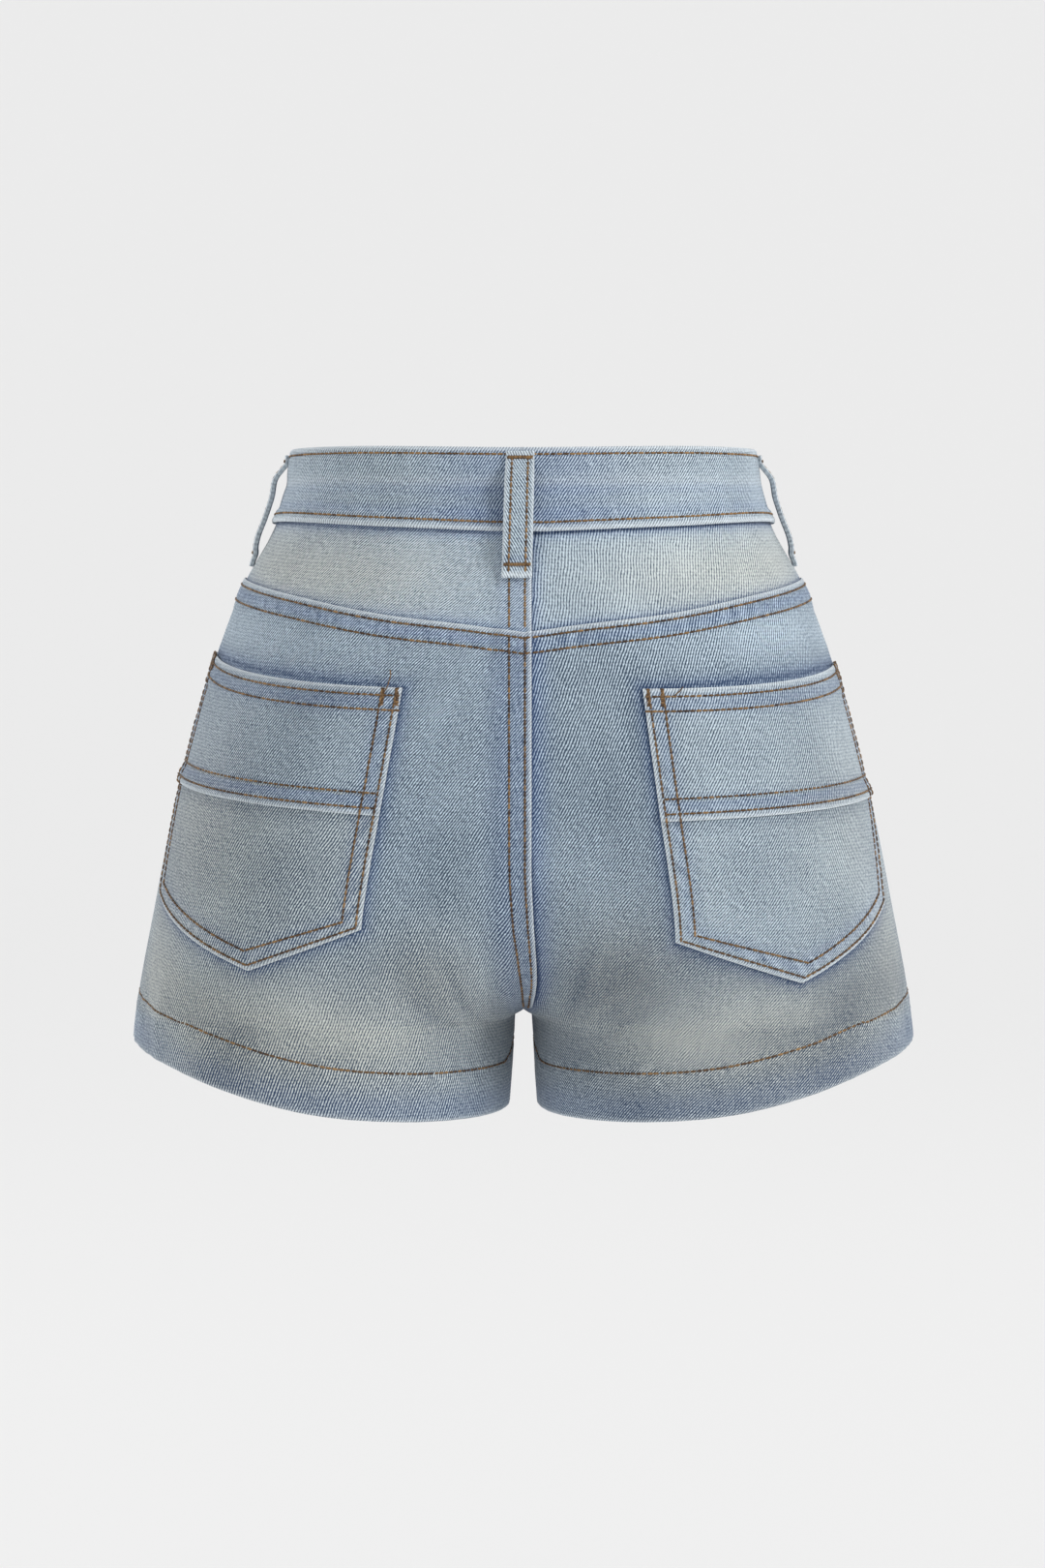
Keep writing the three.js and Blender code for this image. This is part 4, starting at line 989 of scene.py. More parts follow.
def pocket_lift(side, part, a, z):
    rim, head, over = pocket_depths(side, a, z)
    base = mounds(FOLDS, "back", side, a, z) + 0.8 * mounds(CREASES, "back", side, a, z)
    lift = LAP + base
    if part == "upper":
        lift = lift + 0.7 * ease((16 - head) / 3) + LAP * ease((10 - over) / 6)
        lift = lift + folded_edge(over) + stitch_groove(over, LAP_ROWS) + stitch_groove(head, HEAD_ROWS)
        lift = lift + folded_edge(head) + 0.14 * wobble(a, 61 + side, 8) * swell(head, 8, 6)
        lift = lift + 0.16 * wobble(a, 67 + side, 7) * swell(over, 7, 5)
    lift = lift + folded_edge(rim) + stitch_groove(rim, RIM_ROWS)
    return lift + 0.17 * wobble(a + z, 73 + side, 7.5) * swell(rim, 6, 4.5)


def upper_lift(side, a, z):
    return pocket_lift(side, "upper", a, z)


def showing_lift(side, a, z):
    """Lift of whichever part of the pocket shows at a spot."""
    over = pocket_depths(side, a, z)[2]
    return np.where(over > 0, upper_lift(side, a, z), pocket_lift(side, "lower", a, z))


def pocket_wash(side, part, a, z):
    rim, head, over = pocket_depths(side, a, z)
    edges = [rim] + ([head, over] if part == "upper" else [])
    near = np.minimum.reduce(edges)
    rub = from_edge(near, 1.5, power=1.5)
    ribs = wobble(a + z, 73 + side, 5.5) * swell(rim, 6, 4.5)
    base = 0.31 if side > 0 else 0.45
    fade = base + 0.20 * ribs + 0.16 * (blot(a, z, 30, 81 + side) - 0.5) + 0.06 * ease((14 - rim) / 8)
    if part == "lower":
        # painted shadow: darker just below the upper part's lapped edge
        fade = fade - 0.16 * np.exp(-(np.clip(over + 2, None, 0) / 4) ** 2)
    cream = (0.10 if part == "upper" else 0.45) if side > 0 else 0.15
    cream = cream + spots([(185, -190, 50, 60, 0.4)], a, z)
    # deeper indigo between the rows along the rim, the top and the lap: partly unfaded indigo, partly
    # painted shade
    blue = np.maximum(0.45 * swell(rim, 8, 5), 0.5 * swell(head, 8, 5) if part == "upper" else 0)
    if part == "upper":
        blue = np.maximum(blue, 0.6 * swell(over, 7.4, 4.5))
        fade = fade - 0.07 * swell(over, 7.4, 3) - 0.06 * swell(head, 7.6, 3)
    calm = (0.0 if side > 0 else 0.4) + 0.5 * ease((70 - (length(z, "back") - a)) / 60)
    return {"fade": fade, "rub": rub, "blue": blue, "cream": cream, "calm": calm}


for side, name in ((1, "left"), (-1, "right")):
    upper, lower = (((0.1593, 0.0693, 0.01015), (0.1595, 0.0961, 0.01274)) if side > 0 else
                    ((0.1619, 0.0718, 0.01065), (0.1601, 0.0986, 0.01271)))
    for part, first, last, count, cuts in (("upper", 3, LAP_AT, 42, upper), ("lower", 5.46, 10, 62, lower)):
        a, z = pocket_grid(side, first, last, count, 96)
        points, out = place(side, "back", a, z, pocket_lift(side, part, a, z))
        wash = pocket_wash(side, part, a, z)
        piece = cloth(f"Pocket_{name}_{part}", points, out, cloth_uv(side, "back", a, z), wash, WALL)
        hand_over(piece, f"pocket_{name}_{part}", "denim_faded", denim_panel, denim_inside)
    corners = [np.array(c, float) for c in pocket_corners(side)]
    inner_top, outer_top = corners[0], corners[-1]
    for inset in RIM_ROWS:
        # the row runs down one side, round the point and up the other side
        z1 = np.linspace(inner_top[1] - 1, POCKETS[side]["inner"][2][1] + inset * 0.4, 160)
        left_run = np.stack([pocket_edge(side, "inner", z1) + inset, z1], 1)
        z2 = np.linspace(POCKETS[side]["outer"][2][1] + inset * 0.6, outer_top[1] - 1, 160)
        right_run = np.stack([pocket_edge(side, "outer", z2) - inset, z2], 1)
        tip = np.array([corners[3][0], corners[3][1] + inset * 1.05])
        path = np.vstack([left_run, np.linspace(left_run[-1], tip, 60)[1:],
                          np.linspace(tip, right_run[0], 80)[1:], right_run[1:]])
        sew(side, "back", showing_lift, path[:, 0], path[:, 1], 0.12)
    for row, gap in [(3, g) for g in HEAD_ROWS] + [(LAP_AT, -g) for g in LAP_ROWS]:
        a, z = pocket_grid(side, row, row + 0.001, 2, 220)
        sew(side, "back", upper_lift, a[0, 2:-2], z[0, 2:-2] - gap, 0.12)
    for at, way in ((inner_top, 1), (outer_top, -1)):
        for inset in RIM_ROWS:
            lift = float(upper_lift(side, at[0] + way * inset, at[1] - 4)) + 0.25
            tack(side, "back", at[0] + way * inset, at[1] - 4.5, 0.3, -8.0, lift, 12, 2.2)
    # a loose end of thread by the inner corner
    tail = ([(70, -122), (67, -117), (65.5, -112), (66, -109)] if side > 0 else
            [(75, -121.5), (77, -120), (79, -117.5)])
    s = np.linspace(0, 1, 40)
    a, z = (np.interp(s * (len(tail) - 1), range(len(tail)), [t[k] for t in tail]) for k in (0, 1))
    stitch_row(*place(side, "back", a, z, 2.4 + 1.2 * np.sin(np.pi * s)), gauge=1.5, long=1.1, thick=0.62)
    make_thread("Thread_pocket_" + name, 0.11)


# Waistband.
# One long strip folded double, sewn over the tops of the yokes and fronts, with a row of stitches
# along each edge. Its ends overlap at the front, the wearer's left end outside.


# cloth folded double, the band's needle rows from its top and its bottom edge, and the height
# that its running length is measured at
DOUBLE_WALL, TOP_ROW, FOOT_ROW, BAND_LEVEL = 2.0, 3.6, 4.5, -20.0
# how far the wearer's left front laps past the centre
FRONT_LAP = 5


def front_column(side, c, z):
    w = ease((z - CROTCH - 52) / 24)
    wide = [-5, 0, 4, 12, 22, 34] if side > 0 else [-4, 0, 5, 12, 22, 34]
    butt = [0.15, 4, 8, 14, 23, 34]
    a = knots(np.minimum(c, 5), [b + (q - b) * w for q, b in zip(wide, butt)])
    return np.where(c > 5, 34 + (length(z, "front") - 0.15 - 34) * (c - 5) / 8, a)


def front_dip(side, a, z):
    if side > 0:
        return np.zeros(np.broadcast(a, z).shape)
    return -3.7 * (1 - ease((a - 9) / 22)) * ease((z - CROTCH - 22) / 26)


def band_lift(side, branch, a, down, high):
    """down is the distance from the band's top edge, and high its height there."""
    up = high - down
    cap = 0.0
    if branch == "back":
        cap = (1 - ease((a - 8.5) / 9)) if side > 0 else 1 - ease((a - 4) / 8)
    dip = front_dip(side, a, BAND_LEVEL + 0 * a) if branch == "front" else 0.0
    lift = 1.0 + dip + ease((8.5 - up) / 3) * LAP * (1 + cap)
    lift = lift - 0.9 * (1 - np.clip(down / 1.6, 0, 1)) ** 2 + folded_edge(up)
    lift = lift + stitch_groove(down, (TOP_ROW,)) + stitch_groove(up, (FOOT_ROW,), 0.42)
    lift = lift + 0.34 * swell(up, 2.0, 1.7)
    key = 91 + side + (5 if branch == "front" else 0)
    lift = lift + 0.20 * wobble(a, key, 9) * swell(up, 6, 5)
    lift = lift + 0.14 * wobble(a, key + 7, 10) * swell(down, 6, 5)
    # worn folded over a belt's edge: one long shallow dent, deeper here and there
    dent = 0.55 + 0.35 * np.sin(a / 27.0 + side)
    return lift - dent * swell(down, 19 + 1.6 * np.sin(a / 33.0), 4.2) + 0.25 * swell(down, 29, 6)


def band_strip(side, branch, reverse, start):
    """A quarter of the band as a grid, from one end of the run to the other."""
    count = 100 if branch == "back" else 92
    frac = np.linspace(0, 1, count)
    reach = float(length(BAND_LEVEL, branch))
    a = start + (reach - start) * frac
    if reverse:
        a = a[::-1]
    s = np.hstack([np.linspace(0, 0.07, 6)[:-1], np.linspace(0.07, 0.83, 22)[:-1],
                   np.linspace(0.83, 1, 11)])
    share = a / reach
    turn = np.abs(share) if branch == "back" else 2 - np.clip(share, 0, 1)
    top, low = flow(*BAND_TOP, turn) + 0.6, flow(*BAND_BOTTOM, turn)
    z = top + (low - top) * s[:, None]
    aa = share * length(z, branch)
    aa = np.where(a < 0, a + 0 * z, aa)
    down = top - z
    lift = band_lift(side, branch, aa, down, top - low + 0 * z)
    points, out = place(side, branch, aa, z, lift)
    up = (top - low) - down
    rub = np.maximum(swell(down, 0, 2.0), 0.9 * swell(up, 0.8, 1.6))
    rub = np.maximum(rub, 0.25 * swell(down, 17, 3))
    ribs = wobble(aa, 91 + side, 9) * (swell(up, 6, 5) + 0.6 * swell(down, 6, 5))
    fade = 0.50 + 0.10 * ribs + 0.18 * (blot(aa, z, 24, 95 + side) - 0.5)
    # deeper indigo above the lapped foot, in the belt's dent and round the centre back: partly unfaded
    # indigo, partly painted shade
    blue = 0.5 * swell(up, 8.5, 3.4) + 0.35 * swell(down, 21, 3.4)
    if branch == "back":
        blue = blue + 0.6 * (1 - ease((np.abs(aa) - 14) / 55))
        fade = fade - 0.07 * (1 - ease((np.abs(aa) - 14) / 45))
    calm = 0.15 + 0.6 * ease((70 - (reach - aa)) / 70)
    uv = np.stack([side * RISE[branch][0] * (reach - aa) + 37.0 * side, z], -1)
    wash = {"fade": fade, "rub": rub, "blue": blue, "cream": 0.15 + 0 * z, "calm": calm}
    return points, out, uv, wash


def end_to_end(grids):
    """Joins strips side by side, each after the first without its first column."""
    return np.concatenate([g[:, (0 if i == 0 else 1):] for i, g in enumerate(grids)], 1)


quarters = [band_strip(-1, "front", False, -30), band_strip(-1, "back", True, 0.2),
            band_strip(1, "back", False, 0.2), band_strip(1, "front", True, -FRONT_LAP)]
points, out, uv = (end_to_end([q[k] for q in quarters]) for k in range(3))
wash = {key: end_to_end([q[3][key] for q in quarters]) for key in quarters[0][3]}
band = cloth("Waistband", points, out, uv, wash, DOUBLE_WALL)
denim_band = denim("Denim band", 58)
hand_over(band, "waistband", "denim_faded", denim_band, denim_inside)
for side, branch in ((-1, "front"), (-1, "back"), (1, "back"), (1, "front")):
    reach = float(length(BAND_LEVEL, branch))
    run = np.linspace(-4 if branch == "front" and side > 0 else 0.3, reach - 0.3, 400)
    turn = np.clip(run / reach, 0, 1)
    turn = turn if branch == "back" else 2 - turn
    top, low = flow(*BAND_TOP, turn) + 0.6, flow(*BAND_BOTTOM, turn)
    for level in (top - TOP_ROW, low + FOOT_ROW):
        spot = np.where(run < 0, run, run / reach * length(level, branch))
        lift = band_lift(side, branch, spot, top - level, top - low) + 0.10
        stitch_row(*place(side, branch, spot, level, lift), long=1.0)
make_thread("Thread_waistband")


# Front panels.
# The hidden side, finished plainly: one piece a side from the waistband to the hem. The wearer's
# left one laps over the zip, with the curved double row that holds the fly facing.


# distances of the row from the lap's edge, and of the fly's two rows from each other
EDGE_ROW, FLY_GAP = 2.6, 6.6


def front_lift(side, a, z):
    folds = 1.3 * mounds(FOLDS, "front", side, a, z) + 1.25 * mounds(CREASES, "front", side, a, z)
    lift = front_dip(side, a, z) + folds
    low = line_at(BAND_BOTTOM, "front", a, z)
    lift = lift + 0.12 * wobble(a, 101 + side, 8) * swell(low - z, 4, 4)
    calm = ease((z - CROTCH - 4) / 8)
    if side > 0:
        lift = lift + calm * (folded_edge(a + FRONT_LAP) + stitch_groove(a + FRONT_LAP, (EDGE_ROW,)))
        lift = lift + calm * 0.12 * wobble(z, 103, 7) * swell(a, 2, 4)
    up = (z - line_at(HEM, "front", a, z)) / np.maximum(hem_rise("front", a, z) / HEM_HIGH, 1)
    lift = lift + hem_lift(a, z, up, 107 + side)
    return lift - 0.35 * swell(length(z, "front") - a, 0, 1.1)


def front_wash(side, a, z):
    low = line_at(BAND_BOTTOM, "front", a, z)
    up = z - line_at(HEM, "front", a, z)
    # deeper indigo under the waistband's edge and beside the fly's lap: partly unfaded indigo, partly
    # painted shade
    blue = 0.8 * from_edge(low - z, 4)
    rub = 0.55 * from_edge(up, 1.6) * (z < NEAR_HEM)
    if side > 0:
        rub = np.maximum(rub, from_edge(a + FRONT_LAP, 1.5, power=1.5))
        blue = np.maximum(blue, 0.4 * swell(a, 10, 8) * (z > -300))
    fade = 0.34 + spots([(95, -170, 55, 70, 0.26), (120, -290, 60, 26, 0.14)], a, z)
    fade = fade + 0.16 * (blot(a, z, 34, 111 + side) - 0.5) + 0.22 * mounds(CREASES, "front", side, a, z)
    cream = spots([(95, -170, 60, 80, 0.5)], a, z)
    calm = ease((60 - (length(z, "front") - a)) / 60) * 0.28
    return {"fade": fade, "rub": rub, "blue": blue, "cream": cream, "calm": calm}


front_c = stations([(0, 1, 0.2), (1, 5, 0.13), (5, 13, 0.075)])
for side, name in ((1, "left"), (-1, "right")):
    column = lambda z, s=side: front_column(s, front_c, z)
    top = settle("front", column, BAND_BOTTOM, 4.2)
    hem = settle("front", column, HEM)
    middle = CROTCH + (-262 - CROTCH) * ease((front_c - 1) / 12)
    middle[front_c <= 1] = CROTCH
    crowd = 1 + 0.9 * (1 - ease(front_c / 8))
    a, z = grid_of(column, top, middle, hem, panel_upper, panel_lower, crowd)
    points, out = place(side, "front", a, z, front_lift(side, a, z))
    hem_line = line_at(HEM, "front", a, z) + hem_rise("front", a, z)
    thick = np.where((z < hem_line) & (z < HEM_FOLD), HEM_WALL, WALL)
    wash = front_wash(side, a, z)
    piece = cloth("Front_panel_" + name, points, out, cloth_uv(side, "front", a, z), wash, WALL, thick)
    hand_over(piece, "front_" + name, "denim", denim_panel, denim_inside)
    hem_row(side, "front", front_lift, 640)
    if side > 0:
        level = np.linspace(-58, CROTCH + 6, 320)
        edge = -FRONT_LAP * ease((level - CROTCH - 52) / 24)
        sew(side, "front", front_lift, edge + EDGE_ROW, level)
        # the fly's two rows, straight down and then round a quarter of an ellipse
        for inset in (0.0, FLY_GAP):
            turn = np.linspace(0, np.pi / 2, 120)
            run = np.hstack([np.full(150, 34 - inset), 3 + (31 - inset) * np.cos(turn)])
            level = np.hstack([np.linspace(-58, -125, 150), -125.4 - (36 - inset) * np.sin(turn)])
            sew(side, "front", front_lift, run, level)
    make_thread("Thread_front_" + name)


# Belt loops.
# Narrow strips folded in three with two rows of stitches, bar tacked at the top and the foot. The
# cloth bows out between the tacks and its foot is folded under.
# node, side, branch, distance, width, width of the foot, top, low end, extra puff
LOOPS = [
    ("loop_back", 1, "back", 2.5, 14.2, 15.4, -0.6, -64, 1.3),
    ("loop_left", 1, "side", 0, 15, 16.5, -5, -62, 0), ("loop_right", -1, "side", 0, 15, 16.5, -5, -62, 0),
    ("loop_front_left", 1, "front", 78, 15, 16.5, -12.5, -70, 0),
    ("loop_front_right", -1, "front", 78, 15, 16.5, -12.5, -70, 0),
]
# how far the strip stands off the cloth from its top to its foot
STAND = ([0, 0.07, 0.13, 0.2, 0.4, 0.62, 0.78, 0.87, 0.93, 1],
         [1.35, 1.5, 3.4, 5.5, 6.0, 6.1, 5.3, 3.3, 1.3, 0.4])
LOOP_WIDE = 16


def loop_spots(spec, s, v, extra):
    """Points of a loop: s runs down it, v across it from -0.5 to 0.5."""
    _, side, branch, at, wide, foot, top, low, puff = spec
    s, v, extra = np.broadcast_arrays(s, v, extra)
    stand = flow(*STAND, s)
    z = top + (low - top) * s
    shift = v * (wide + (foot - wide) * s)
    on_lap = LAP if branch == "back" else 0.0
    lift = stand + puff * np.clip((stand - 3.4) / 2, 0, 1) + on_lap * ease((s - 0.80) / 0.1) + 1.8 + extra
    if branch != "side":
        return place(side, branch, at + shift + (1.8 * (s - 0.5) if branch == "back" else 0), z, lift)
    p, n = place(side, "back", length(z, "back") - np.abs(shift), z, lift)
    q, m = place(side, "front", length(z, "front") - np.abs(shift), z, lift)
    pick = (shift > 0)[..., None]
    return np.where(pick, q, p), np.where(pick, m, n)


def loop_relief(s, v):
    edge = (0.5 - np.abs(v)) * LOOP_WIDE
    lift = -0.5 * (1 - np.clip(edge / 1.4, 0, 1)) ** 2 + stitch_groove(edge, (3.6,), 0.35)
    lift = lift + 0.06 * wobble(s * 65, 121, 12) * (1 - swell(v, 0, 0.2))
    tacks = swell(s, 0.06, 0.018) + swell(s, 0.90, 0.018)
    return lift - 0.35 * tacks + 0.35 * swell(s, 0.965, 0.03)


for index, spec in enumerate(LOOPS):
    s, v = np.meshgrid(np.linspace(0, 1, 84), np.linspace(-0.5, 0.5, 23), indexing="ij")
    points, out = loop_spots(spec, s, v, loop_relief(s, v))
    edge = (0.5 - np.abs(v)) * LOOP_WIDE
    rub = np.maximum(0.9 * swell(edge, 0, 1.3), swell(s, 0.975, 0.025))
    rub = np.maximum(rub, 0.7 * swell(s, 0.015, 0.02))
    # deeper indigo just above the foot's tack, where the loop bends back: partly unfaded indigo, partly
    # painted shade
    wash = {"fade": 0.52 + 0.10 * wobble(s * 65 + v * 4, 131 + index, 9), "rub": rub,
            "blue": 0.4 * swell(s, 0.86, 0.03), "cream": 0.1 + 0 * s,
            "calm": 0.1 + 1.7 * swell(edge, 0, 0.9)}
    uv = np.stack([v * LOOP_WIDE + 50 * index, spec[6] + (spec[7] - spec[6]) * s], -1)
    title = "_".join(w.capitalize() for w in spec[0].split("_"))
    piece = cloth(title, points, out, uv, wash, DOUBLE_WALL)
    hand_over(piece, spec[0], "denim", denim_band, denim_inside)
    line = np.linspace(0.035, 0.955, 200)
    for across in (-0.275, 0.275):
        sunk = -0.28 if spec[2] == "side" else 0.02
        relief = loop_relief(line, across + 0 * line) + sunk
        stitch_row(*loop_spots(spec, line, across + 0 * line, relief))
    for where in (0.05, 0.90):
        t = np.linspace(-0.42, 0.42, 24)
        relief = loop_relief(where + 0 * t, t) + 0.30
        p, n = loop_spots(spec, where + 0 * t, t, relief)
        q, _ = loop_spots(spec, where + 0.01 + 0 * t, t + 0.012, relief)
        stitches.append((p, q - p, n, np.full(24, 0.55), np.full(24, 0.75)))
    make_thread("Thread_" + spec[0])


# Fly.
# A doubled denim shield behind a zip on cotton tape. The zip is closed, with brass teeth that
# clasp in turn and a slider at the top.


def patch(name, inner, outer, start, end, lift, wall, columns, rows):
    a = np.linspace(inner, outer, columns)[None, :] + np.zeros((rows, 1))
    z = np.linspace(start, end, rows)[:, None] + np.zeros((1, columns))
    points, out = place(1, "front", a, z, lift + 0 * a)
    wash = {"fade": 0.3 + 0 * a, "rub": 0.6 * swell(outer, a, 1.6), "blue": 0.4 + 0 * a, "cream": 0 * a,
            "calm": 0 * a}
    return cloth(name, points, out, np.stack([a, z], -1), wash, wall)


shield = patch("Fly_shield", -13, 36, -48, -162, -5.2, WALL, 30, 70)
hand_over(shield, "fly_shield", "denim", denim_panel, denim_inside)

tape = patch("Zip_tape", -3, 24, -58, -152, -1.6, 0.8, 28, 90)
tape_cotton = bpy.data.materials.new("Zip tape cotton")
tape_cotton.use_nodes = True
tn, tl = tape_cotton.node_tree.nodes, tape_cotton.node_tree.links.new
where = tn.new("ShaderNodeUVMap")
where.uv_map = "cloth"
rib = tn.new("ShaderNodeTexWave")
rib.inputs["Scale"].default_value = 0.9
rib.inputs["Distortion"].default_value = 1.2
tl(where.outputs[0], rib.inputs["Vector"])
shade = tn.new("ShaderNodeMix")
shade.data_type = "RGBA"
shade.inputs[6].default_value = (0.030, 0.045, 0.075, 1)
shade.inputs[7].default_value = (0.065, 0.085, 0.120, 1)
tl(rib.outputs["Fac"], shade.inputs["Factor"])
tl(shade.outputs[2], tn["Principled BSDF"].inputs["Base Color"])
tn["Principled BSDF"].inputs["Roughness"].default_value = 0.85
hand_over(tape, "zip_tape", "zip_tape", tape_cotton)


def front_spot(a, z, lift, square=False):
    """A spot on the wearer's left front: its point, and the directions along, up and outward."""
    (p, q), (n, _) = place(1, "front", np.array([a, a + 1.0]), np.full(2, z), np.full(2, lift))
    along = (q - p) / np.linalg.norm(q - p)
    if square:
        along -= n * (along @ n)
        along /= np.linalg.norm(along)
    return p, along, np.cross(n, along), n


def set_on(spot, shape, wide=1.0, high=1.0, deep=1.0):
    """A shape's points, sized and laid along the directions of a spot."""
    p, along, rise, n = spot
    return p + shape[:, :1] * wide * along + shape[:, 1:2] * high * rise + shape[:, 2:] * deep * n


def metal(name, dark, light, rough):
    """Worn metal: darker and brighter in noise patches, the brighter ones smoother."""
    mat = bpy.data.materials.new(name)
    mat.use_nodes = True
    n, link = mat.node_tree.nodes, mat.node_tree.links.new
    shader = n["Principled BSDF"]
    shader.inputs["Metallic"].default_value = 1.0
    where = n.new("ShaderNodeTexCoord")
    patches = n.new("ShaderNodeTexNoise")
    patches.inputs["Scale"].default_value = 900
    patches.inputs["Detail"].default_value = 4
    link(where.outputs["Object"], patches.inputs["Vector"])
    mixer = n.new("ShaderNodeMix")
    mixer.data_type = "RGBA"
    mixer.inputs[6].default_value = dark + (1,)
    mixer.inputs[7].default_value = light + (1,)
    link(patches.outputs["Fac"], mixer.inputs["Factor"])
    link(mixer.outputs[2], shader.inputs["Base Color"])
    spread = n.new("ShaderNodeMapRange")
    spread.inputs["To Min"].default_value = rough + 0.15
    spread.inputs["To Max"].default_value = rough
    link(patches.outputs["Fac"], spread.inputs["Value"])
    link(spread.outputs[0], shader.inputs["Roughness"])
    return mat


brass = metal("Zip brass", (0.33, 0.22, 0.09), (0.72, 0.54, 0.26), 0.28)
levels = np.arange(-68.2, -147.5, -1.35)
bpy.ops.mesh.primitive_cube_add(size=1)
chain = bpy.context.object
chain.name = chain.data.name = "Zip_teeth"
cube = np.array([v.co[:] for v in chain.data.vertices])
cube_faces = [list(f.vertices) for f in chain.data.polygons]
teeth, teeth_faces = [], []
for k, level in enumerate(levels):
    teeth.append(set_on(front_spot(9.3 if k % 2 else 11.3, level, -3.5), cube, 3.0, 0.95, 1.4))
    teeth_faces += [[i + len(cube) * k for i in f] for f in cube_faces]
mesh = bpy.data.meshes.new("Zip_teeth")
mesh.from_pydata((np.vstack(teeth) * 0.001).tolist(), [], teeth_faces)
chain.data = mesh
recalculate_outside()
hand_over(chain, "zip_chain", "zip_metal", brass)
chain.select_set(False)

bpy.ops.mesh.primitive_cube_add(size=1)
slider = bpy.context.object
slider.name = slider.data.name = "Zip_slider"
cube = np.array([v.co[:] for v in slider.data.vertices])
narrow = np.where(cube[:, 1:2] < 0, 0.72, 1.0)
put_vertices(slider, set_on(front_spot(10.3, -62.3, -3.65), cube, 7.2 * narrow, 8.2, 1.8))
bevel = slider.modifiers.new("edge", "BEVEL")
bevel.width = 0.0005
bevel.segments = 3
bpy.ops.object.modifier_apply(modifier="edge")
bpy.ops.object.shade_smooth_by_angle(angle=math.radians(40))
hand_over(slider, "zip_slider", "zip_metal", brass)
slider.select_set(False)


# Button.
# A plain tack button with a rolled rim and a shallow dish, pushed through the buttonhole in the
# wearer's left end of the waistband. It carries no mark.
rim_line = np.array([
    (0, 0), (5, 0), (7.4, 0.05), (8.1, 0.25), (8.45, 0.75), (8.5, 1.2), (8.35, 1.75), (7.9, 2.2),
    (7.2, 2.42), (6.5, 2.4), (5.9, 2.2), (5.4, 2.05), (4.8, 2.1), (3.6, 2.5), (2.2, 2.85), (1.0, 3.0),
    (0, 3.05),
])
bpy.ops.mesh.primitive_uv_sphere_add(segments=64, ring_count=len(rim_line) - 1, radius=1)
button = bpy.context.object
button.name = button.data.name = "Waist_button"
co = np.array([v.co[:] for v in button.data.vertices])
ring = np.rint((1 - np.arccos(np.clip(-co[:, 2], -1, 1)) / np.pi) * (len(rim_line) - 1)).astype(int)
ring = (len(rim_line) - 1) - ring
radius, high = rim_line[ring, 0], rim_line[ring, 1]
around = np.arctan2(co[:, 1], co[:, 0])
turned = np.stack([radius * np.cos(around), radius * np.sin(around), high], 1)
put_vertices(button, set_on(front_spot(13.0, -33.0, 1.45, square=True), turned))
recalculate_outside()
bpy.ops.object.shade_smooth_by_angle(angle=math.radians(40))
button_metal = metal("Button metal", (0.16, 0.13, 0.10), (0.46, 0.39, 0.30), 0.34)
hand_over(button, "waist_button", "button_metal", button_metal)
button.select_set(False)


# Stage.
# A pale paper floor that curves up into a wall all round, farther off than any camera, soft light
# on both sides of the garment, and the camera at the photograph's angle.
# metres: how far out the floor stays flat, and its level. The bend is a quarter circle of 1 m.
FLAT_OUT, FLOOR_LEVEL, BEND_LONG = 4.8, -0.75, 1.57
bpy.ops.mesh.primitive_grid_add(x_subdivisions=96, y_subdivisions=40, size=1)
floor = bpy.context.object
floor.name = floor.data.name = "Floor"
co = np.array([v.co[:] for v in floor.data.vertices])
turn, s = (co[:, 0] + 0.5) * 2 * np.pi, (0.5 - co[:, 1]) * 2 * FLAT_OUT
past = s - FLAT_OUT
bend = np.clip(past / BEND_LONG, 0, 1) * np.pi / 2
r = np.where(past < 0, s, FLAT_OUT + np.sin(bend))
z = FLOOR_LEVEL + (1 - np.cos(bend)) + np.clip(past - BEND_LONG, 0, None)
put_vertices(floor, np.stack([r * np.cos(turn), r * np.sin(turn), z], 1) * 1000)
turn_outward(floor, np.array([[0.0, 0.0, 1.0]]))
bpy.ops.object.mode_set(mode="EDIT")
bpy.ops.mesh.select_all(action="SELECT")
bpy.ops.mesh.remove_doubles(threshold=0.0005)
bpy.ops.object.mode_set(mode="OBJECT")
bpy.ops.object.shade_smooth()
paper = bpy.data.materials.new("Paper floor")
paper.use_nodes = True
pn, pl = paper.node_tree.nodes, paper.node_tree.links.new
where = pn.new("ShaderNodeTexCoord")
fleck = pn.new("ShaderNodeTexNoise")
fleck.inputs["Scale"].default_value = 3.0
pl(where.outputs["Object"], fleck.inputs["Vector"])
tone = pn.new("ShaderNodeMix")
tone.data_type = "RGBA"
tone.inputs[6].default_value = (0.865, 0.865, 0.865, 1)
tone.inputs[7].default_value = (0.89, 0.89, 0.89, 1)
pl(fleck.outputs["Fac"], tone.inputs["Factor"])
pl(tone.outputs[2], pn["Principled BSDF"].inputs["Base Color"])
pn["Principled BSDF"].inputs["Roughness"].default_value = 0.9
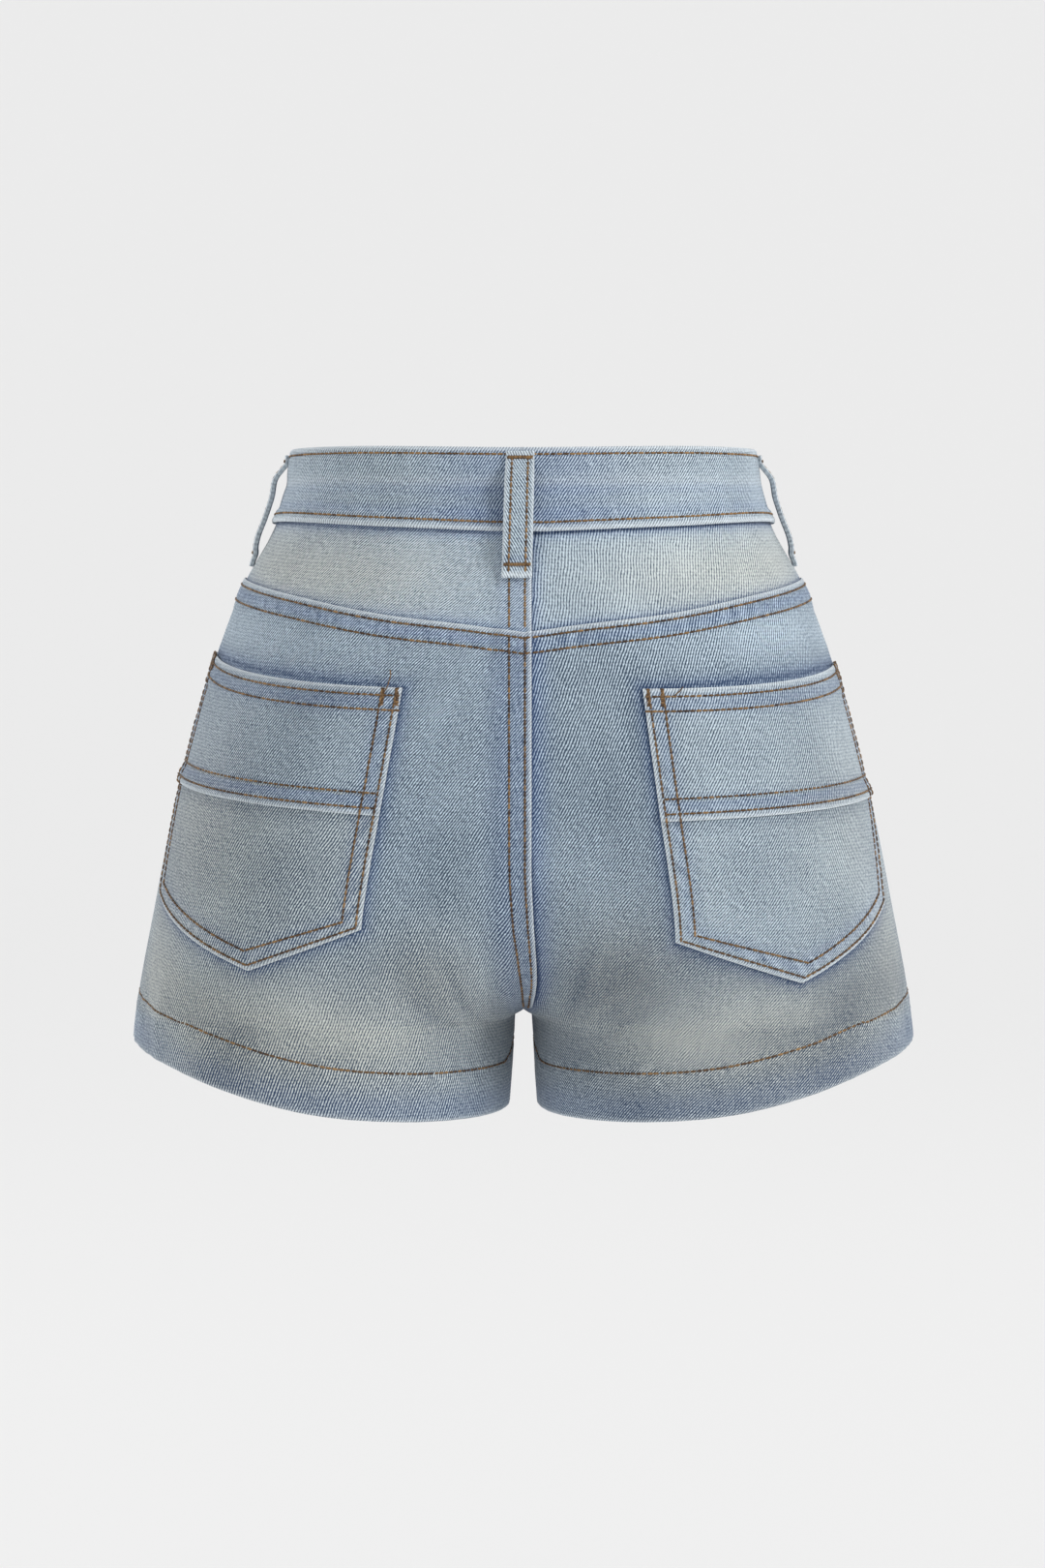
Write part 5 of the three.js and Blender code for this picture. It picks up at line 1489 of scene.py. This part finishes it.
# the paper is as bright as a lit backdrop to the camera, and only paper to the garment
glow = pn.new("ShaderNodeEmission")
glow.inputs["Color"].default_value = (0.863, 0.863, 0.863, 1)
path = pn.new("ShaderNodeLightPath")
part = pn.new("ShaderNodeMath")
part.operation = "MULTIPLY"
part.inputs[1].default_value = 0.92
pl(path.outputs["Is Camera Ray"], part.inputs[0])
both = pn.new("ShaderNodeMixShader")
pl(part.outputs[0], both.inputs[0])
pl(pn["Principled BSDF"].outputs[0], both.inputs[1])
pl(glow.outputs[0], both.inputs[2])
pl(both.outputs[0], pn["Material Output"].inputs["Surface"])
floor.data.materials.append(paper)
floor.select_set(False)


def area_light(name, place_at, aim, size, power):
    bpy.ops.object.light_add(type="AREA", location=place_at)
    lamp = bpy.context.object
    lamp.name = name
    lamp.data.shape = "RECTANGLE"
    lamp.data.size, lamp.data.size_y = size
    lamp.data.energy = power
    lamp.visible_camera = False
    way = np.array(aim) - np.array(place_at)
    lean = math.acos(-way[2] / np.linalg.norm(way))
    lamp.rotation_euler = (lean, 0, math.atan2(way[1], way[0]) - math.pi / 2)
    lamp.select_set(False)
    return lamp


lights = [
    area_light("Key", (-2.2, 1.5, 1.6), (0, 0.05, -0.17), (1.0, 1.0), 66),
    area_light("Fill", (1.7, 2.2, 0.6), (0, 0.05, -0.17), (1.8, 1.8), 17),
    area_light("Front_key", (2.3, -1.7, 1.25), (0, -0.05, -0.17), (1.2, 1.2), 52),
    area_light("Front_fill", (-1.9, -2.1, 0.5), (0, -0.05, -0.17), (1.8, 1.8), 20),
]
world = bpy.data.worlds.new("Studio")
world.use_nodes = True
world.node_tree.nodes["Background"].inputs["Color"].default_value = (0.99, 0.995, 1.0, 1)
world.node_tree.nodes["Background"].inputs["Strength"].default_value = 0.34
bpy.context.scene.world = world
bpy.context.scene.view_settings.view_transform = "Standard"

# metres from the garment's middle to the camera, and that middle's height
AWAY, MIDDLE = 3.0, -0.174
tilt = math.radians(4.5)
bpy.ops.object.camera_add(location=(0.0005, AWAY * math.cos(tilt), MIDDLE + AWAY * math.sin(tilt)),
                          rotation=(math.pi / 2 - tilt, 0, math.pi))
camera = bpy.context.object
camera.data.sensor_fit = "VERTICAL"
camera.data.sensor_height = 36
camera.data.lens = 133.33
camera.data.dof.use_dof = False
bpy.context.scene.camera = camera
